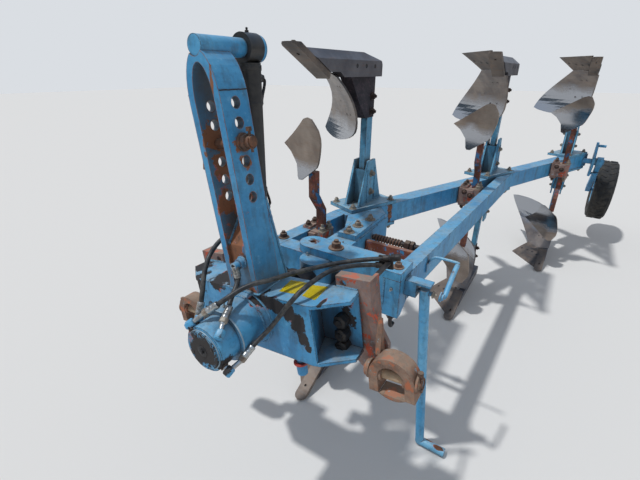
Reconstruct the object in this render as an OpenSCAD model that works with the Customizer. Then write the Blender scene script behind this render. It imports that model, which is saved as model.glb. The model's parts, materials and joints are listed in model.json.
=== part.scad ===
// Mounted reversible mouldboard plough with three furrows, parked on its lower bodies and its stand.
// Millimetres. +X is the direction of travel, +Y is the left side, +Z is up, the ground is z = 0.
// Working coordinates have X = 0 at the lower hitch pins and Y = 0 on the turnover axle.

/* [Main sizes] */
// Height of the turnover axle above the ground
axle_z = 880; // [860:5:900]
// Lean of the parked headstock towards the right, in degrees
headstock_roll = 8; // [4:1:10]
// Number of furrows
body_count = 3; // [2:1:3]
// Distance between neighbouring bodies along the direction of travel
body_pitch = 1180; // [1150:10:1220]
// Distance between neighbouring bodies across the direction of travel
furrow_w = 470; // [455:5:485]

/* [Beams] */
// Height of every frame beam
beam_h = 116; // [104:2:124]
// Width of the diagonal main beam
main_beam_w = 104; // [90:2:110]
// Width of the left side beam
side_beam_w = 66; // [60:2:72]
// Width of the right front arm
right_arm_w = 78; // [66:2:86]
// Length of the main beam behind the last leg
beam_tail = 210; // [190:10:240]

/* [Legs and bases] */
// Length of a leg's section along the travel
leg_l = 66; // [56:2:72]
// Thickness of a leg's section across the travel
leg_t = 35; // [28:1:40]
// Length of a leg's base plate
base_l = 340; // [320:10:360]
// Width of a leg's base plate
base_w = 200; // [180:5:220]
// Thickness of a leg's base plate
base_t = 20; // [14:1:24]
// Height of a leg's tapered bracket
bracket_h = 245; // [220:5:260]
// Width of a leg's bracket across its side plates
bracket_w = 92; // [84:2:98]
// Thickness of the bracket's side plates
bracket_t = 12; // [8:1:16]

/* [Plough bodies] */
// Thickness of a mouldboard
board_t = 10; // [8:1:12]
// Height of a mouldboard above the sole
board_top = 458; // [450:2:466]
// Reach of the shin behind the tip of the point
shin_reach = 490; // [470:5:510]
// Height at which the shin stands upright
shin_rise = 400; // [390:5:420]
// Length of the share's cutting edge
share_edge = 450; // [420:10:470]
// Height of the seam between share and mouldboard
seam_z = 98; // [90:2:104]
// Width of the point bar
point_w = 66; // [60:1:72]
// Thickness of the point bar
point_t = 24; // [18:1:28]
// Slope of the point bar, in degrees
point_slope = 27; // [25:1:29]
// Height of the landside's sole above the tip of the point
sole_z = 24; // [18:1:30]
// Height of the landside's upper edge above the tip of the point
landside_h = 130; // [120:5:140]
// Thickness of the landside
landside_t = 44; // [36:2:48]
// Distance of the landside's heel behind the tip of the point
heel_x = 735; // [700:5:760]

/* [Skimmers] */
// Side of the square skimmer stalk
stalk_s = 36; // [34:1:40]
// Thickness of the skimmer board
skim_t = 8; // [6:1:10]

/* [Headstock] */
// Outer diameter of the turnover housing
hub_d = 180; // [170:2:190]
// Diameter of the turnover axle
axle_d = 80; // [76:2:82]
// Diameter of the swivel on the front of the housing
swivel_d = 154; // [146:2:160]
// Height of the cross beam's box
cross_h = 221; // [215:1:225]
// Thickness of the cross beam's plates
cross_wall = 12; // [8:1:16]
// Clear width between the tower's two flats
tower_gap = 81; // [75:1:88]
// Thickness of the tower's flats
flat_t = 25; // [20:1:30]
// Width of the tower's flats along the travel
flat_w = 108; // [96:2:116]
// Height of the round top bar above the axle
top_bar_w = 845; // [835:5:860]
// Diameter of the round top bar
top_bar_d = 55; // [50:1:60]
// Diameter of the top link holes
top_hole_d = 33; // [32:0.5:36]
// Diameter of the top link pin
top_pin_d = 31.6; // [30:0.2:32]
// Distance between the centres of the two lower hitch pins
hitch_span = 965; // [955:5:975]
// Diameter of the lower hitch pins
hitch_pin_d = 36.6; // [34:0.2:38]
// Depth of the lower hitch pins below the axle
hitch_drop = 145; // [135:5:155]

/* [Turnover cylinder] */
// Outer diameter of the cylinder's barrel
barrel_d = 76; // [70:2:80]
// Diameter of the cylinder's rod
rod_d = 40; // [34:2:44]
// Radius of the crank that the rod's eye is pinned to
crank_r = 150; // [150:1:154]
// Depth of the bore that the cylinder's rod slides in
rod_bore = 320; // [315:5:330]

/* [Stand and depth wheel] */
// Diameter of the stand's tube
stand_d = 40; // [36:1:42]
// Diameter of the depth wheel's tyre
wheel_d = 600; // [570:10:620]
// Width of the depth wheel's tyre
wheel_w = 175; // [160:5:190]
// Length of the depth wheel's arm
arm_l = 600; // [580:10:620]
// Angle of the hanging wheel arm below the horizontal, in degrees
arm_drop = 38; // [34:1:40]
// Distance of the wheel arm's pivot behind the last leg
wheel_pivot_back = 90; // [70:5:110]
// Distance of the wheel arm's pivot left of the last leg
wheel_pivot_left = 210; // [200:5:220]
// Distance of the depth wheel's middle left of the arm's pivot
wheel_offset = 190; // [186:2:200]

/* [Hidden] */
$fn = 48;
fit = 0.06;       // radial clearance of a running shaft
seat = 0.3;       // gap between pieces that seat on one another
frame_top = axle_z + beam_h / 2;
frame_bottom = axle_z - beam_h / 2;

// The tip of the first body's point, and the first leg
tip = [-360, -100];
leg_back = 720;
leg_in = 67;
leg0 = [tip[0] - leg_back, tip[1] - leg_in];
beam_angle = atan2(furrow_w, body_pitch);
leg_pitch = norm([body_pitch, furrow_w]);
beam_shift = 55;  // the main beam's middle lies this far left of the line of legs
main_beam_front = -205;

// The origin sits under the middle of the whole plough
front_x = 264;
last = body_count - 1;
wheel_pivot = [leg0[0] - last * body_pitch - wheel_pivot_back, leg0[1] + last * furrow_w + wheel_pivot_left];
wheel_c = [wheel_pivot[0] - arm_l * cos(arm_drop), wheel_pivot[1] + wheel_offset,
    axle_z - arm_l * sin(arm_drop)];
right_reach = 85; // from the right hitch pin's middle to the pin's outer end
rear_x = wheel_c[0] - wheel_d / 2;
left_y = wheel_c[1] + wheel_w / 2;
right_y = -hitch_span / 2 - right_reach;
place_shift = [-(front_x + rear_x) / 2, -(left_y + right_y) / 2, 0];

module place() translate(place_shift) children();
module mirror_up() translate([0, 0, 2 * axle_z]) mirror([0, 0, 1]) children();
module in_headstock() translate([0, 0, axle_z]) rotate([headstock_roll, 0, 0]) children();
// x runs back along the line of legs from the first leg, y to its right
module along_legs() translate([leg0[0], leg0[1], 0]) rotate([0, 0, 180 - beam_angle]) children();
module along_legs_2d() translate(leg0) rotate(180 - beam_angle) children();
module each_leg() for (i = [0:last]) along_legs() translate([i * leg_pitch, 0, 0]) children();
module each_body() for (i = [0:last])
    translate([tip[0] - i * body_pitch, tip[1] + i * furrow_w, 0]) children();
module block(x0, x1, y0, y1, z0, z1) translate([x0, y0, z0]) cube([x1 - x0, y1 - y0, z1 - z0]);
module rod_x(x0, x1, r) translate([x0, 0, 0]) rotate([0, 90, 0]) cylinder(h = x1 - x0, r = r);
module rod_y(y0, y1, r) translate([0, y1, 0]) rotate([90, 0, 0]) cylinder(h = y1 - y0, r = r);
module slab_y(y0, y1) translate([0, y1, 0]) rotate([90, 0, 0]) linear_extrude(y1 - y0) children();
// an outline drawn in (y, z), extruded from x0 to x1
module slab_x(x0, x1) translate([x0, 0, 0]) rotate([90, 0, 90]) linear_extrude(x1 - x0) children();

// Frame beams
main_beam_end = last * leg_pitch + beam_tail;
module main_beam_region(grow = 0)
    along_legs_2d() translate([main_beam_front - grow, -beam_shift - main_beam_w / 2 - grow])
        square([main_beam_end - main_beam_front + 2 * grow, main_beam_w + 2 * grow]);

module main_beam() color("steelblue")
    translate([0, 0, frame_bottom]) linear_extrude(beam_h) main_beam_region();

side_beam_front = [-400, furrow_w - 125];
side_beam_slope = 2.4;
module side_beam_region() difference() {
    translate(side_beam_front) rotate(180 - side_beam_slope)
        translate([0, -side_beam_w / 2]) square([2100, side_beam_w]);
    main_beam_region(seat);
    along_legs_2d() translate([0, -beam_shift]) square([3000, 3000]);
}
box_x = [-446, -352];
box_y = [side_beam_front[1] - side_beam_w / 2, side_beam_front[1] + side_beam_w / 2];
box_z = [frame_bottom - 48, frame_top];
module side_beam() color("steelblue") {
    difference() {
        translate([0, 0, frame_bottom]) linear_extrude(beam_h) side_beam_region();
        block(box_x[0] + 20, 0, 200, 500, 0, 2000);
    }
    slab_y(box_y[0], box_y[1])
        polygon([[box_x[0], box_z[1]], [box_x[1], box_z[1]], [box_x[1], box_z[0]], [box_x[1] - 30, box_z[0]],
            [box_x[0], frame_bottom]]);
}

arm_front = [-352, -252];
arm_rear = [-1000, -190];
module right_arm_region() difference() {
    translate(arm_front) rotate(atan2(arm_rear[1] - arm_front[1], arm_rear[0] - arm_front[0]))
        translate([0, -right_arm_w / 2]) square([700, right_arm_w]);
    along_legs_2d() translate([main_beam_front - seat, -500]) square([2000, 1000]);
}
module right_arm() color("steelblue")
    translate([0, 0, frame_bottom]) linear_extrude(beam_h) right_arm_region();

// The head that the turnover axle is held in, and the web from it to the main beam
head_z = [frame_bottom, frame_top];
head_half = 66;
module axle_head_region() difference() {
    union() {
        translate([-340, 0]) circle(r = head_half);
        polygon([[-340, -head_half], [-340, head_half], [-700, head_half], [-960, 50], [-1100, -60],
            [-1100, -200], [-880, -150], [-700, -head_half]]);
    }
    main_beam_region(seat);
    along_legs_2d() translate([main_beam_front, -beam_shift]) square([3000, 3000]);
}
module axle_head() color("steelblue") difference() {
    translate([0, 0, head_z[0]]) linear_extrude(head_z[1] - head_z[0]) axle_head_region();
    translate([0, 0, axle_z]) rod_x(-620, 0, axle_d / 2 + fit);
}
module turnover_axle() color("dimgray") translate([0, 0, axle_z]) {
    rod_x(-620, axle_nose, axle_d / 2);
    rotate([headstock_roll, 0, 0]) slab_x(crank_x[0], crank_x[1]) {
        circle(r = 66);
        rotate(atan2(crank_pin[1], crank_pin[0])) translate([0, -crank_eye]) square([crank_r, 2 * crank_eye]);
        translate(crank_pin) circle(r = crank_eye);
    }
}
axle_nose = 168;
crank_x = [-208, -180];
crank_eye = 32;

cross_arm_x = [-470, box_x[1]];
module cross_arm_outline(right, left) {
    w = cross_arm_x[1] - cross_arm_x[0];
    translate([(cross_arm_x[0] + cross_arm_x[1]) / 2, right]) circle(d = w);
    translate([cross_arm_x[0], right]) square([w, left - right]);
}
plate_t = 34;
module cross_arm() color("steelblue") {
    difference() {
        translate([0, 0, head_z[1]]) linear_extrude(plate_t) cross_arm_outline(-60, box_y[1]);
        translate([-411, -60, head_z[1] - 1]) cylinder(h = 60, r = 13);
        translate([-411, 60, head_z[1] - 1]) cylinder(h = 60, r = 13);
    }
    translate([0, 0, head_z[0] - plate_t]) linear_extrude(plate_t) cross_arm_outline(-60, box_y[0] - seat);
    block(cross_arm_x[0], cross_arm_x[1], 110, box_y[0] - seat, head_z[0], head_z[1]);
    translate([0, 0, head_z[0]]) linear_extrude(beam_h) difference() {
        translate([-440, -230]) square([88, 230 - head_half - seat]);
        offset(delta = seat) right_arm_region();
    }
}
module tie_plate() color("steelblue")
    translate([0, 0, head_z[1]]) linear_extrude(26)
        polygon([[-580, -34], [-580, 62], [-925, 50], [-925, -40]]);

strut_x = -680;
// what lies between the head and the left side beam
module between_beams() difference() {
    children();
    linear_extrude(2000) offset(delta = seat) axle_head_region();
    linear_extrude(2000) offset(delta = seat) side_beam_region();
}
module width_strut() color("firebrick") between_beams()
    block(strut_x - 12, strut_x + 12, 70, 340, axle_z - 20, axle_z + 30);
module width_spindle() color("dimgray") between_beams()
    translate([strut_x - 70, 0, axle_z + 20]) rod_y(70, 340, 14);

// Legs, their bases and brackets
module base_plate() translate([-base_l / 2, -base_w / 2 - 10, 0]) difference() {
    cube([base_l, base_w, base_t]);
    for (x = [26, base_l - 26], y = [24, base_w - 24])
        translate([x, y, -1]) cylinder(h = base_t + 2, r = 10);
}
module leg_bases() color("steelblue") for (side = [0, 1]) {
    each_leg() {
        if (side == 0) translate([0, 0, frame_top]) base_plate();
        else translate([0, 0, frame_bottom - base_t]) base_plate();
    }
}
module leg_bracket() {
    half = bracket_w / 2;
    for (s = [-1, 1]) translate([0, s > 0 ? half - bracket_t : -half, 0])
        slab_y(0, bracket_t)
            polygon([[-135, 0], [135, 0], [leg_l / 2 + 8, bracket_h], [-leg_l / 2 - 8, bracket_h]]);
    for (end = [-1, 1]) translate([end * (leg_l / 2 + seat + bracket_t / 2), 0, 0])
        block(-bracket_t / 2, bracket_t / 2, 1 - half, half - 1, 0, bracket_h * 0.8);
    for (s = [-1, 1]) block(-leg_l / 2, leg_l / 2, s > 0 ? leg_t / 2 + seat : -half + 1,
        s > 0 ? half - 1 : -leg_t / 2 - seat, bracket_h * 0.35, bracket_h * 0.35 + bracket_t);
}
module leg_brackets() color("steelblue") {
    each_leg_straight() translate([0, 0, frame_top + base_t]) leg_bracket();
    mirror_up() each_leg_straight() translate([0, 0, frame_top + base_t]) leg_bracket();
}
module each_leg_straight() for (i = [0:last])
    translate([leg0[0] - i * body_pitch, leg0[1] + i * furrow_w, 0]) children();

leg_foot = 190;  // height above the sole at which a leg ends inside its frog
module legs_set() each_leg_straight()
    block(-leg_l / 2, leg_l / 2, -leg_t / 2, leg_t / 2, leg_foot, frame_bottom - base_t);
module legs_lower() color("steelblue") legs_set();
module legs_upper() color("steelblue") mirror_up() legs_set();

// Body surface: horizontal lines that start on the shin curve and turn as they rise
function shin_x(z) = -shin_reach * (1 - pow(max(0, 1 - z / shin_rise), 2.3));
function turn(z) = 41 + 8 * pow(z / 450, 2);
// a point of the surface, s along the line at height z, d behind the working face
function on_board(s, z, d = 0) =
    [shin_x(z) - s * cos(turn(z)) - d * sin(turn(z)), -s * sin(turn(z)) + d * cos(turn(z)), z];

// a sheet between two edge functions given as lists of [near, far, z] rows
module sheet(rows, across, t) {
    m = across + 1;
    n = len(rows);
    front = [for (r = rows, j = [0:across]) on_board(r[0] + (r[1] - r[0]) * j / across, r[2])];
    back = [for (r = rows, j = [0:across]) on_board(r[0] + (r[1] - r[0]) * j / across, r[2], t)];
    k = n * m;
    faces = concat(
        [for (i = [0:n - 2], j = [0:across - 1]) let (a = i * m + j, b = a + m) [a, a + 1, b + 1]],
        [for (i = [0:n - 2], j = [0:across - 1]) let (a = i * m + j, b = a + m) [a, b + 1, b]],
        [for (i = [0:n - 2], j = [0:across - 1]) let (a = k + i * m + j, b = a + m) [a, b + 1, a + 1]],
        [for (i = [0:n - 2], j = [0:across - 1]) let (a = k + i * m + j, b = a + m) [a, b, b + 1]],
        [for (j = [0:across - 1]) [j, k + j + 1, j + 1]], [for (j = [0:across - 1]) [j, k + j, k + j + 1]],
        [for (j = [0:across - 1]) [(n - 1) * m + j, (n - 1) * m + j + 1, k + (n - 1) * m + j + 1]],
        [for (j = [0:across - 1]) [(n - 1) * m + j, k + (n - 1) * m + j + 1, k + (n - 1) * m + j]],
        [for (i = [0:n - 2]) [i * m, (i + 1) * m, k + (i + 1) * m]],
        [for (i = [0:n - 2]) [i * m, k + (i + 1) * m, k + i * m]],
        [for (i = [0:n - 2]) [i * m + across, k + (i + 1) * m + across, (i + 1) * m + across]],
        [for (i = [0:n - 2]) [i * m + across, k + i * m + across, k + (i + 1) * m + across]]);
    polyhedron(concat(front, back), faces);
}
corner_s = 270;  // how far out the seam's outer corner lies
wing_s = 597;    // how far out the wing's tail reaches
// the board's rounded upper edge, as distances along the line against depths below the top
near_edge = [[0, 330], [3, 272], [11, 215], [31, 134], [58, 59], [81, 30], [130, 8], [200, 0]];
far_edge = [[0, 392], [3, 430], [10, 507], [27, 597]];
tail_drop = 27;
function board_near(z) = z < 130 ? 125 * (130 - z) / 30 : lookup(board_top - z, near_edge);
function board_far(z) = board_top - z < tail_drop ? lookup(board_top - z, far_edge)
    : corner_s + (wing_s - corner_s) * sin(min(1, (z - seam_z) / (board_top - tail_drop - seam_z)) * 90);
second_row = seam_z + 31.6;
last_row = 14;  // the rows come closer towards the top, where the edge is round
function board_row(i) = i == 0 ? seam_z + seat
    : second_row + (board_top - second_row) * (1 - pow(1 - (i - 1) / (last_row - 1), 1.6));
board_rows = [for (i = [0:last_row]) let (z = board_row(i)) [board_near(z), board_far(z), z]];
module board() sheet(board_rows, 9, board_t);
share_near = point_w + 8;
share_rows = [for (i = [0:4]) let (z = seam_z * i / 4)
    [(share_near) / sin(turn(z)), share_edge - (share_edge - corner_s) * z / seam_z, z]];
module share() sheet(share_rows, 8, board_t + 2);

module mouldboards_lower() color("gray") each_body() board();
module mouldboards_upper() color("gray") mirror_up() each_body() board();
module shares_lower() color("dimgray") each_body() share();
module shares_upper() color("dimgray") mirror_up() each_body() share();

point_l = 275;
module point_bar() difference() {
    translate([0, -5 - point_w / 2, 0]) rotate([0, point_slope, 0]) translate([0, 0, -point_t])
        linear_extrude(point_t) difference() {
            union() {
                translate([-point_l, -point_w / 2]) square([point_l - point_w / 2, point_w]);
                translate([-point_w / 2, 0]) circle(d = point_w);
            }
            translate([-85, 0]) circle(r = 7);
        }
    block(-100, 100, -200, 100, -200, 0);
}
module points_lower() color("dimgray") each_body() translate([0, 0, point_lift]) point_bar();
module points_upper() color("dimgray") mirror_up() each_body() translate([0, 0, point_lift]) point_bar();

// height of the point bar's underside at x behind the tip
function bar_under(x) = -x * tan(point_slope) - point_t / cos(point_slope) + point_lift;
point_lift = 10;
module landside() intersection() {
    slab_x(-heel_x, -40)
        polygon([[0, sole_z + 36], [0, landside_h], [-landside_t, landside_h], [-landside_t, sole_z],
            [-30, sole_z]]);
    slab_y(-100, 100) {
        polygon([[-95, sole_z], [-heel_x + 150, sole_z], [-heel_x + 12, sole_z + 34],
            [-heel_x, sole_z + 52], [-heel_x, landside_h], [-356.6, landside_h],
            [-324.3, landside_h - 20.6], [-250, landside_h - 21],
            [-235, bar_under(-235) - seat], [-95, bar_under(-95) - seat]]);
    }
}
module landsides_lower() color("dimgray") each_body() landside();
module landsides_upper() color("dimgray") mirror_up() each_body() landside();

frog_y = [-landside_t - 62, -landside_t - seat];
module frog() difference() {
    slab_y(frog_y[0], frog_y[1])
        polygon([[-430, 44], [-600, 44], [-leg_back - leg_l / 2, 120], [-leg_back - leg_l / 2, 330],
            [-leg_back + 66, 330], [-575, 240], [-510, 150]]);
    block(-leg_back - leg_l / 2 - 10, -leg_back + leg_l / 2 + seat, -leg_in - leg_t / 2 - seat,
        -leg_in + leg_t / 2 + seat, leg_foot - seat, 400);
}
module frogs_lower() color("dimgray") each_body() frog();
module frogs_upper() color("dimgray") mirror_up() each_body() frog();

// Skimmers
stalk_at = [-262, -57];   // from the body's tip
clamp_z = [axle_z - 55, axle_z + 55];
module skimmer_clamps() color("firebrick") translate([0, 0, clamp_z[0]])
    linear_extrude(clamp_z[1] - clamp_z[0]) difference() {
        each_body() translate([stalk_at[0] - 50, stalk_at[1] - 90]) square([100, 132]);
        each_body() translate([stalk_at[0] - stalk_s / 2 - seat, stalk_at[1] - stalk_s / 2 - seat])
            square(stalk_s + 2 * seat);
        offset(delta = seat) right_arm_region();
        offset(delta = seat) side_beam_region();
        main_beam_region(seat);
    }
module stalk() translate([stalk_at[0], stalk_at[1], 0]) {
    translate([-stalk_s / 2, -stalk_s / 2, 720]) cube([stalk_s, stalk_s, axle_z - 720 - 2]);
    slab_y(-stalk_s / 2, stalk_s / 2)
        polygon([[-stalk_s / 2, 720], [stalk_s / 2, 720], [stalk_s / 2 + 60, 640], [stalk_s / 2 + 60, 520],
            [60 - stalk_s / 2, 520], [60 - stalk_s / 2, 632]]);
}
module skimmer_stalks_lower() color("firebrick") each_body() stalk();
module skimmer_stalks_upper() color("firebrick") mirror_up() each_body() stalk();
skim_r = 420;
skim_turn = 20;
// the board's hollow back lies on the front corner of the turned stalk
skim_x = stalk_at[0] + 60 + stalk_s / 2 * (1 + tan(skim_turn)) + skim_t - 1.95;
module skim_board() translate([skim_x, stalk_at[1], 0])
    rotate([0, 0, -skim_turn]) intersection() {
        translate([skim_r, 0, 480]) rotate([90, 0, 0]) difference() {
            translate([0, 0, -300]) cylinder(h = 600, r = skim_r + skim_t);
            translate([0, 0, -301]) cylinder(h = 602, r = skim_r);
        }
        slab_x(-60, 120)
            polygon([[-208, 416], [21, 285], [52, 276], [78, 282], [97, 326], [96, 360], [90, 385],
                [61, 468], [48, 491], [-61, 566], [-82, 567], [-94, 557], [-110, 499], [-156, 448]]);
    }
module skimmer_boards_lower() color("gray") each_body() skim_board();
module skimmer_boards_upper() color("gray") mirror_up() each_body() skim_board();

// Stand
stand_pivot = [-420, box_y[1] + 74, axle_z + 8];
elbow_r = stand_d / 2 + 1;
stand_heel = [-490, stand_pivot[1] + 56, elbow_r];
stand_toe = [-490, stand_heel[1] + 120, stand_d / 2];
stand_pin_r = 9;
module bar_between(a, b, r) {
    d = b - a;
    translate(a) rotate([0, acos(d[2] / norm(d)), atan2(d[1], d[0])]) cylinder(h = norm(d), r = r);
}
holder_y = [box_y[1] + seat, stand_pivot[1] + stand_d / 2 + 6];
module stand_holder() color("steelblue") {
    difference() {
        block(-444, -396, holder_y[0], holder_y[1], axle_z - 16, axle_z + 49);
        block(-500, -300, stand_pivot[1] - stand_d / 2 - 6, 600, 0, axle_z + 41);
        linear_extrude(2000) offset(delta = seat) side_beam_region();
    }
    translate([stand_pivot[0], 0, stand_pivot[2]]) rod_y(holder_y[0] + 4, holder_y[1] + 4, stand_pin_r);
}
module stand_leg() color("steelblue") difference() {
    union() {
        bar_between(stand_pivot + (stand_pivot - stand_heel) / 60, stand_heel, stand_d / 2);
        translate(stand_heel) sphere(r = elbow_r);
        bar_between(stand_heel, stand_toe, stand_d / 2);
    }
    translate([stand_pivot[0], 0, stand_pivot[2]]) rod_y(stand_pivot[1] - 52, stand_pivot[1] + 68, stand_pin_r + fit);
}

// Depth wheel behind the last body
arm_y = [50, 90];      // the arm's sides, from its pivot's middle
arm_h = 60;
pivot_r = 24;
stop_r = 12;
stop_at = 160;
module at_stop(up) rotate([0, up ? arm_drop : -arm_drop, 0])
    translate([-stop_at, 0, (up ? 1 : -1) * (arm_h / 2 + stop_r + seat)]) children();
module wheel_bracket() color("steelblue") translate([wheel_pivot[0], wheel_pivot[1], axle_z]) {
    difference() {
        rod_y(-100, arm_y[1] + 14, pivot_r);
        translate([-wheel_pivot[0], -wheel_pivot[1], -500]) linear_extrude(1000) main_beam_region(seat);
    }
    rod_y(20, arm_y[0] - 5 - seat, 34);
    slab_y(10, 30)
        polygon([[45, -45], [45, 45], [-85, 160], [-135, 160], [-135, -160], [-85, -160]]);
    for (up = [false, true]) at_stop(up) rod_y(20, arm_y[1], stop_r);
}
module wheel_arm() color("steelblue") translate([wheel_pivot[0], wheel_pivot[1], axle_z])
    rotate([0, -arm_drop, 0]) difference() {
        union() {
            block(-arm_l, 0, arm_y[0], arm_y[1], -arm_h / 2, arm_h / 2);
            rod_y(arm_y[0] - 5, arm_y[1] + 5, 45);
            translate([-arm_l, 0, 0]) rod_y(arm_y[0], wheel_offset + 60, 20);
            translate([-arm_l, 0, 0]) rod_y(arm_y[0], arm_y[1] + 5, 34);
        }
        rod_y(0, 200, pivot_r + fit);
    }
module wheel_rim() color("steelblue") translate(wheel_c) rotate([90, 0, 0]) rotate_extrude()
    polygon([[20 + fit, -50], [48, -50], [48, -8], [190, -8], [190, -70],
        [205, -70], [205, 70], [190, 70], [190, 8], [48, 8], [48, 50], [20 + fit, 50]]);
module wheel_tyre() color("black") translate(wheel_c) rotate([90, 0, 0]) rotate_extrude()
    polygon([[205, -70], [240, -wheel_w / 2], [280, -wheel_w / 2 + 8], [wheel_d / 2, -60], [wheel_d / 2, 60],
        [280, wheel_w / 2 - 8], [240, wheel_w / 2], [205, 70]]);

// Headstock
cross_w = [100 - cross_h, 100];
cross_x = [-92, 55];
hub_x = [-120, 180];
// the end stays open in front of a slanting inner plate
module cross_half() difference() {
    translate([0, 0, cross_w[0]]) linear_extrude(cross_h)
        polygon([[cross_x[1], 0], [cross_x[1], 250], [50, 272], [-20, 365], [-82, 360],
            [cross_x[0], 352], [cross_x[0], 0]]);
    translate([0, 0, cross_w[0] + cross_wall]) linear_extrude(cross_h - 2 * cross_wall)
        polygon([[cross_x[1] - cross_wall, 252], [cross_x[1] - cross_wall, 264], [100, 264], [100, 420],
            [cross_x[0] + cross_wall, 420], [cross_x[0] + cross_wall, 205]]);
}
module cross_beam() color("steelblue") in_headstock() difference() {
    union() {
        cross_half();
        mirror([0, 1, 0]) cross_half();
        rod_x(hub_x[0], hub_x[1], hub_d / 2);
        translate([cross_x[1], 0, 0]) rotate([0, 90, 0]) cylinder(h = 25, r1 = hub_d / 2 + 9, r2 = hub_d / 2);
    }
    rod_x(hub_x[0] - 1, axle_nose + 3, axle_d / 2 + fit);
}
module swivel() color("steelblue") in_headstock() {
    rod_x(hub_x[1], 255, swivel_d / 2);
    rod_x(255, front_x, swivel_d / 2 - 11);
}
tower_foot = cross_w[1];
tower_bend = 700;
tower_half = tower_gap / 2 + flat_t;
module tower_outline() difference() {
    union() {
        translate([-tower_half, tower_foot]) square([2 * tower_half, tower_bend - tower_foot]);
        translate([0, tower_bend]) arch(tower_half, top_bar_w - tower_bend - 8);
    }
    translate([-tower_gap / 2, tower_foot - 1]) square([tower_gap, tower_bend - tower_foot + 1]);
    translate([0, tower_bend]) arch(tower_gap / 2, top_bar_w - tower_bend - 42);
    translate([0, top_bar_w]) circle(r = top_bar_d / 2 + fit);
}
tower_web = 42;  // how far back the inclined web between the flats rises
module arch(a, b) polygon([for (t = [0:10:180]) [a * cos(t), b * sin(t)]]);
hole_w = [for (i = [0:5]) 415 + 55 * i];
tower_x = [-flat_w / 2 + 4, flat_w / 2 + 4];
module tower() color("steelblue") in_headstock() difference() {
    union() {
        slab_x(tower_x[0], tower_x[1]) tower_outline();
        slab_y(-tower_gap / 2 - 1, tower_gap / 2 + 1)
            polygon([[46, tower_foot], [46, 262], [-tower_web, 368], [tower_x[0], 368], [tower_x[0], 354],
                [34, 257], [34, tower_foot]]);
    }
    for (w = hole_w) translate([4, 0, w]) rod_y(-100, 100, top_hole_d / 2);
}
module tower_braces() color("steelblue") in_headstock() for (s = [-1, 1])
    translate([0, s * (tower_half - 8), 0]) slab_y(-7, 7)
        polygon([[tower_x[0], tower_foot], [tower_x[0] - 41, tower_foot], [tower_x[0], tower_foot + 300]]);
module top_bar() color("steelblue") in_headstock() translate([0, 0, top_bar_w]) {
    rod_x(-182, 54, top_bar_d / 2);
    rod_x(-196, -182, 40);
}
hitch_u = hitch_span / 2;
hitch_x = -45;
arch_x = [hitch_x - 29, hitch_x + 29];
arch_out = 75;
arch_in = 44;
plate_x = [cross_x[0] - 18, cross_x[0]];
cheek_u = [hitch_u - arch_out, hitch_u - arch_in];
plate_top = 137;
module link_plate() {
    slab_x(plate_x[0], plate_x[1]) difference() {
        polygon([[272, plate_top], [397, plate_top], [397, 30], [446, -78], [cheek_u[1], -hitch_drop],
            [cheek_u[1], -hitch_drop - 60], [367, -hitch_drop - 60], [340, -190], [272, -115]]);
        translate([298, 112]) circle(r = 12);
    }
    block(plate_x[0] - 45, plate_x[0], 385, 397, -100, plate_top);
    block(plate_x[0] - 22, plate_x[0], 272, 397, plate_top - 10, plate_top);
}
module link_plates() color("firebrick") in_headstock() {
    link_plate();
    mirror([0, 1, 0]) link_plate();
}
module hitch_arch() difference() {
    union() {
        translate([0, hitch_u, -hitch_drop]) slab_x(arch_x[0], arch_x[1]) difference() {
            union() {
                circle(r = arch_out);
                translate([-arch_out, -60]) square([2 * arch_out, 60]);
            }
            circle(r = arch_in);
            translate([-arch_in, -61]) square([2 * arch_in, 61]);
        }
        block(plate_x[1], arch_x[0] + 1, cheek_u[0], cheek_u[1], -hitch_drop - 60, -hitch_drop + 20);
        slab_y(cheek_u[0] + 8, cheek_u[1] - 5)
            polygon([[plate_x[1], -hitch_drop], [arch_x[0] + 20, -hitch_drop + 50], [plate_x[1], 20]]);
    }
    translate([hitch_x, hitch_u, -hitch_drop]) rod_y(-80, 80, hitch_pin_d / 2 + 0.1);
}
module hitch_arches() color("sienna") in_headstock() {
    hitch_arch();
    mirror([0, 1, 0]) hitch_arch();
}
module hitch_pins() color("silver") in_headstock() for (s = [-1, 1])
    translate([hitch_x, s * hitch_u, -hitch_drop]) rod_y(-82, 82, hitch_pin_d / 2);
top_pin_w = hole_w[3];
module top_link_pin() color("sienna") in_headstock() translate([4, 0, top_pin_w]) {
    rod_y(-tower_half - 22, tower_half + 42, top_pin_d / 2);
}
module hose_guide() color("steelblue") in_headstock() {
    translate([0, 17, 210]) {
        rod_x(46, 97, 12);
        rod_x(58, 76, 17);
    }
    translate([87, 17, 178]) cylinder(h = 30, r = 9);
    // the end piece of the hose that climbs on the tower's right
    block(-42, -18, -tower_half - 20, -tower_half, 300, 326);
}

// Hoses from the swivel, in the headstock's directions
hose_r = 8;
hose_paths = [
    [[208, 2, 112], [186, 30, 131], [160, 52, 146], [124, 70, 157], [88, 95, 163], [50, 120, 160],
        [-35, 146, 150], [-153, 214, 140], [-220, 294, 140], [-269, 384, 140]],
    [[178, 87, -46], [140, 100, -22], [100, 125, 8], [82, 170, 62], [70, 208, 109], [20, 235, 142],
        [-98, 250, 146], [-190, 292, 132], [-262, 358, 114]],
    [[191, 50, 92], [170, 44, 104], [145, 32, 121], [110, 22, 142], [90, 18, 160], [87, 17, 171],
        [87, 17, 177.2]],
    [[193, -77, 77], [178, -76, 106], [160, -76, 148], [128, -90, 192], [90, -98, 231], [30, -112, 256],
        [-10, -98, 270], [-29, -84, 280], [-30, -80, 292], [-30, -80, 299.2]]];
hose_up = [[0, 0, 1], [0, 0, 1], [0, 1, 0], [0, 1, 0]];
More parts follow.
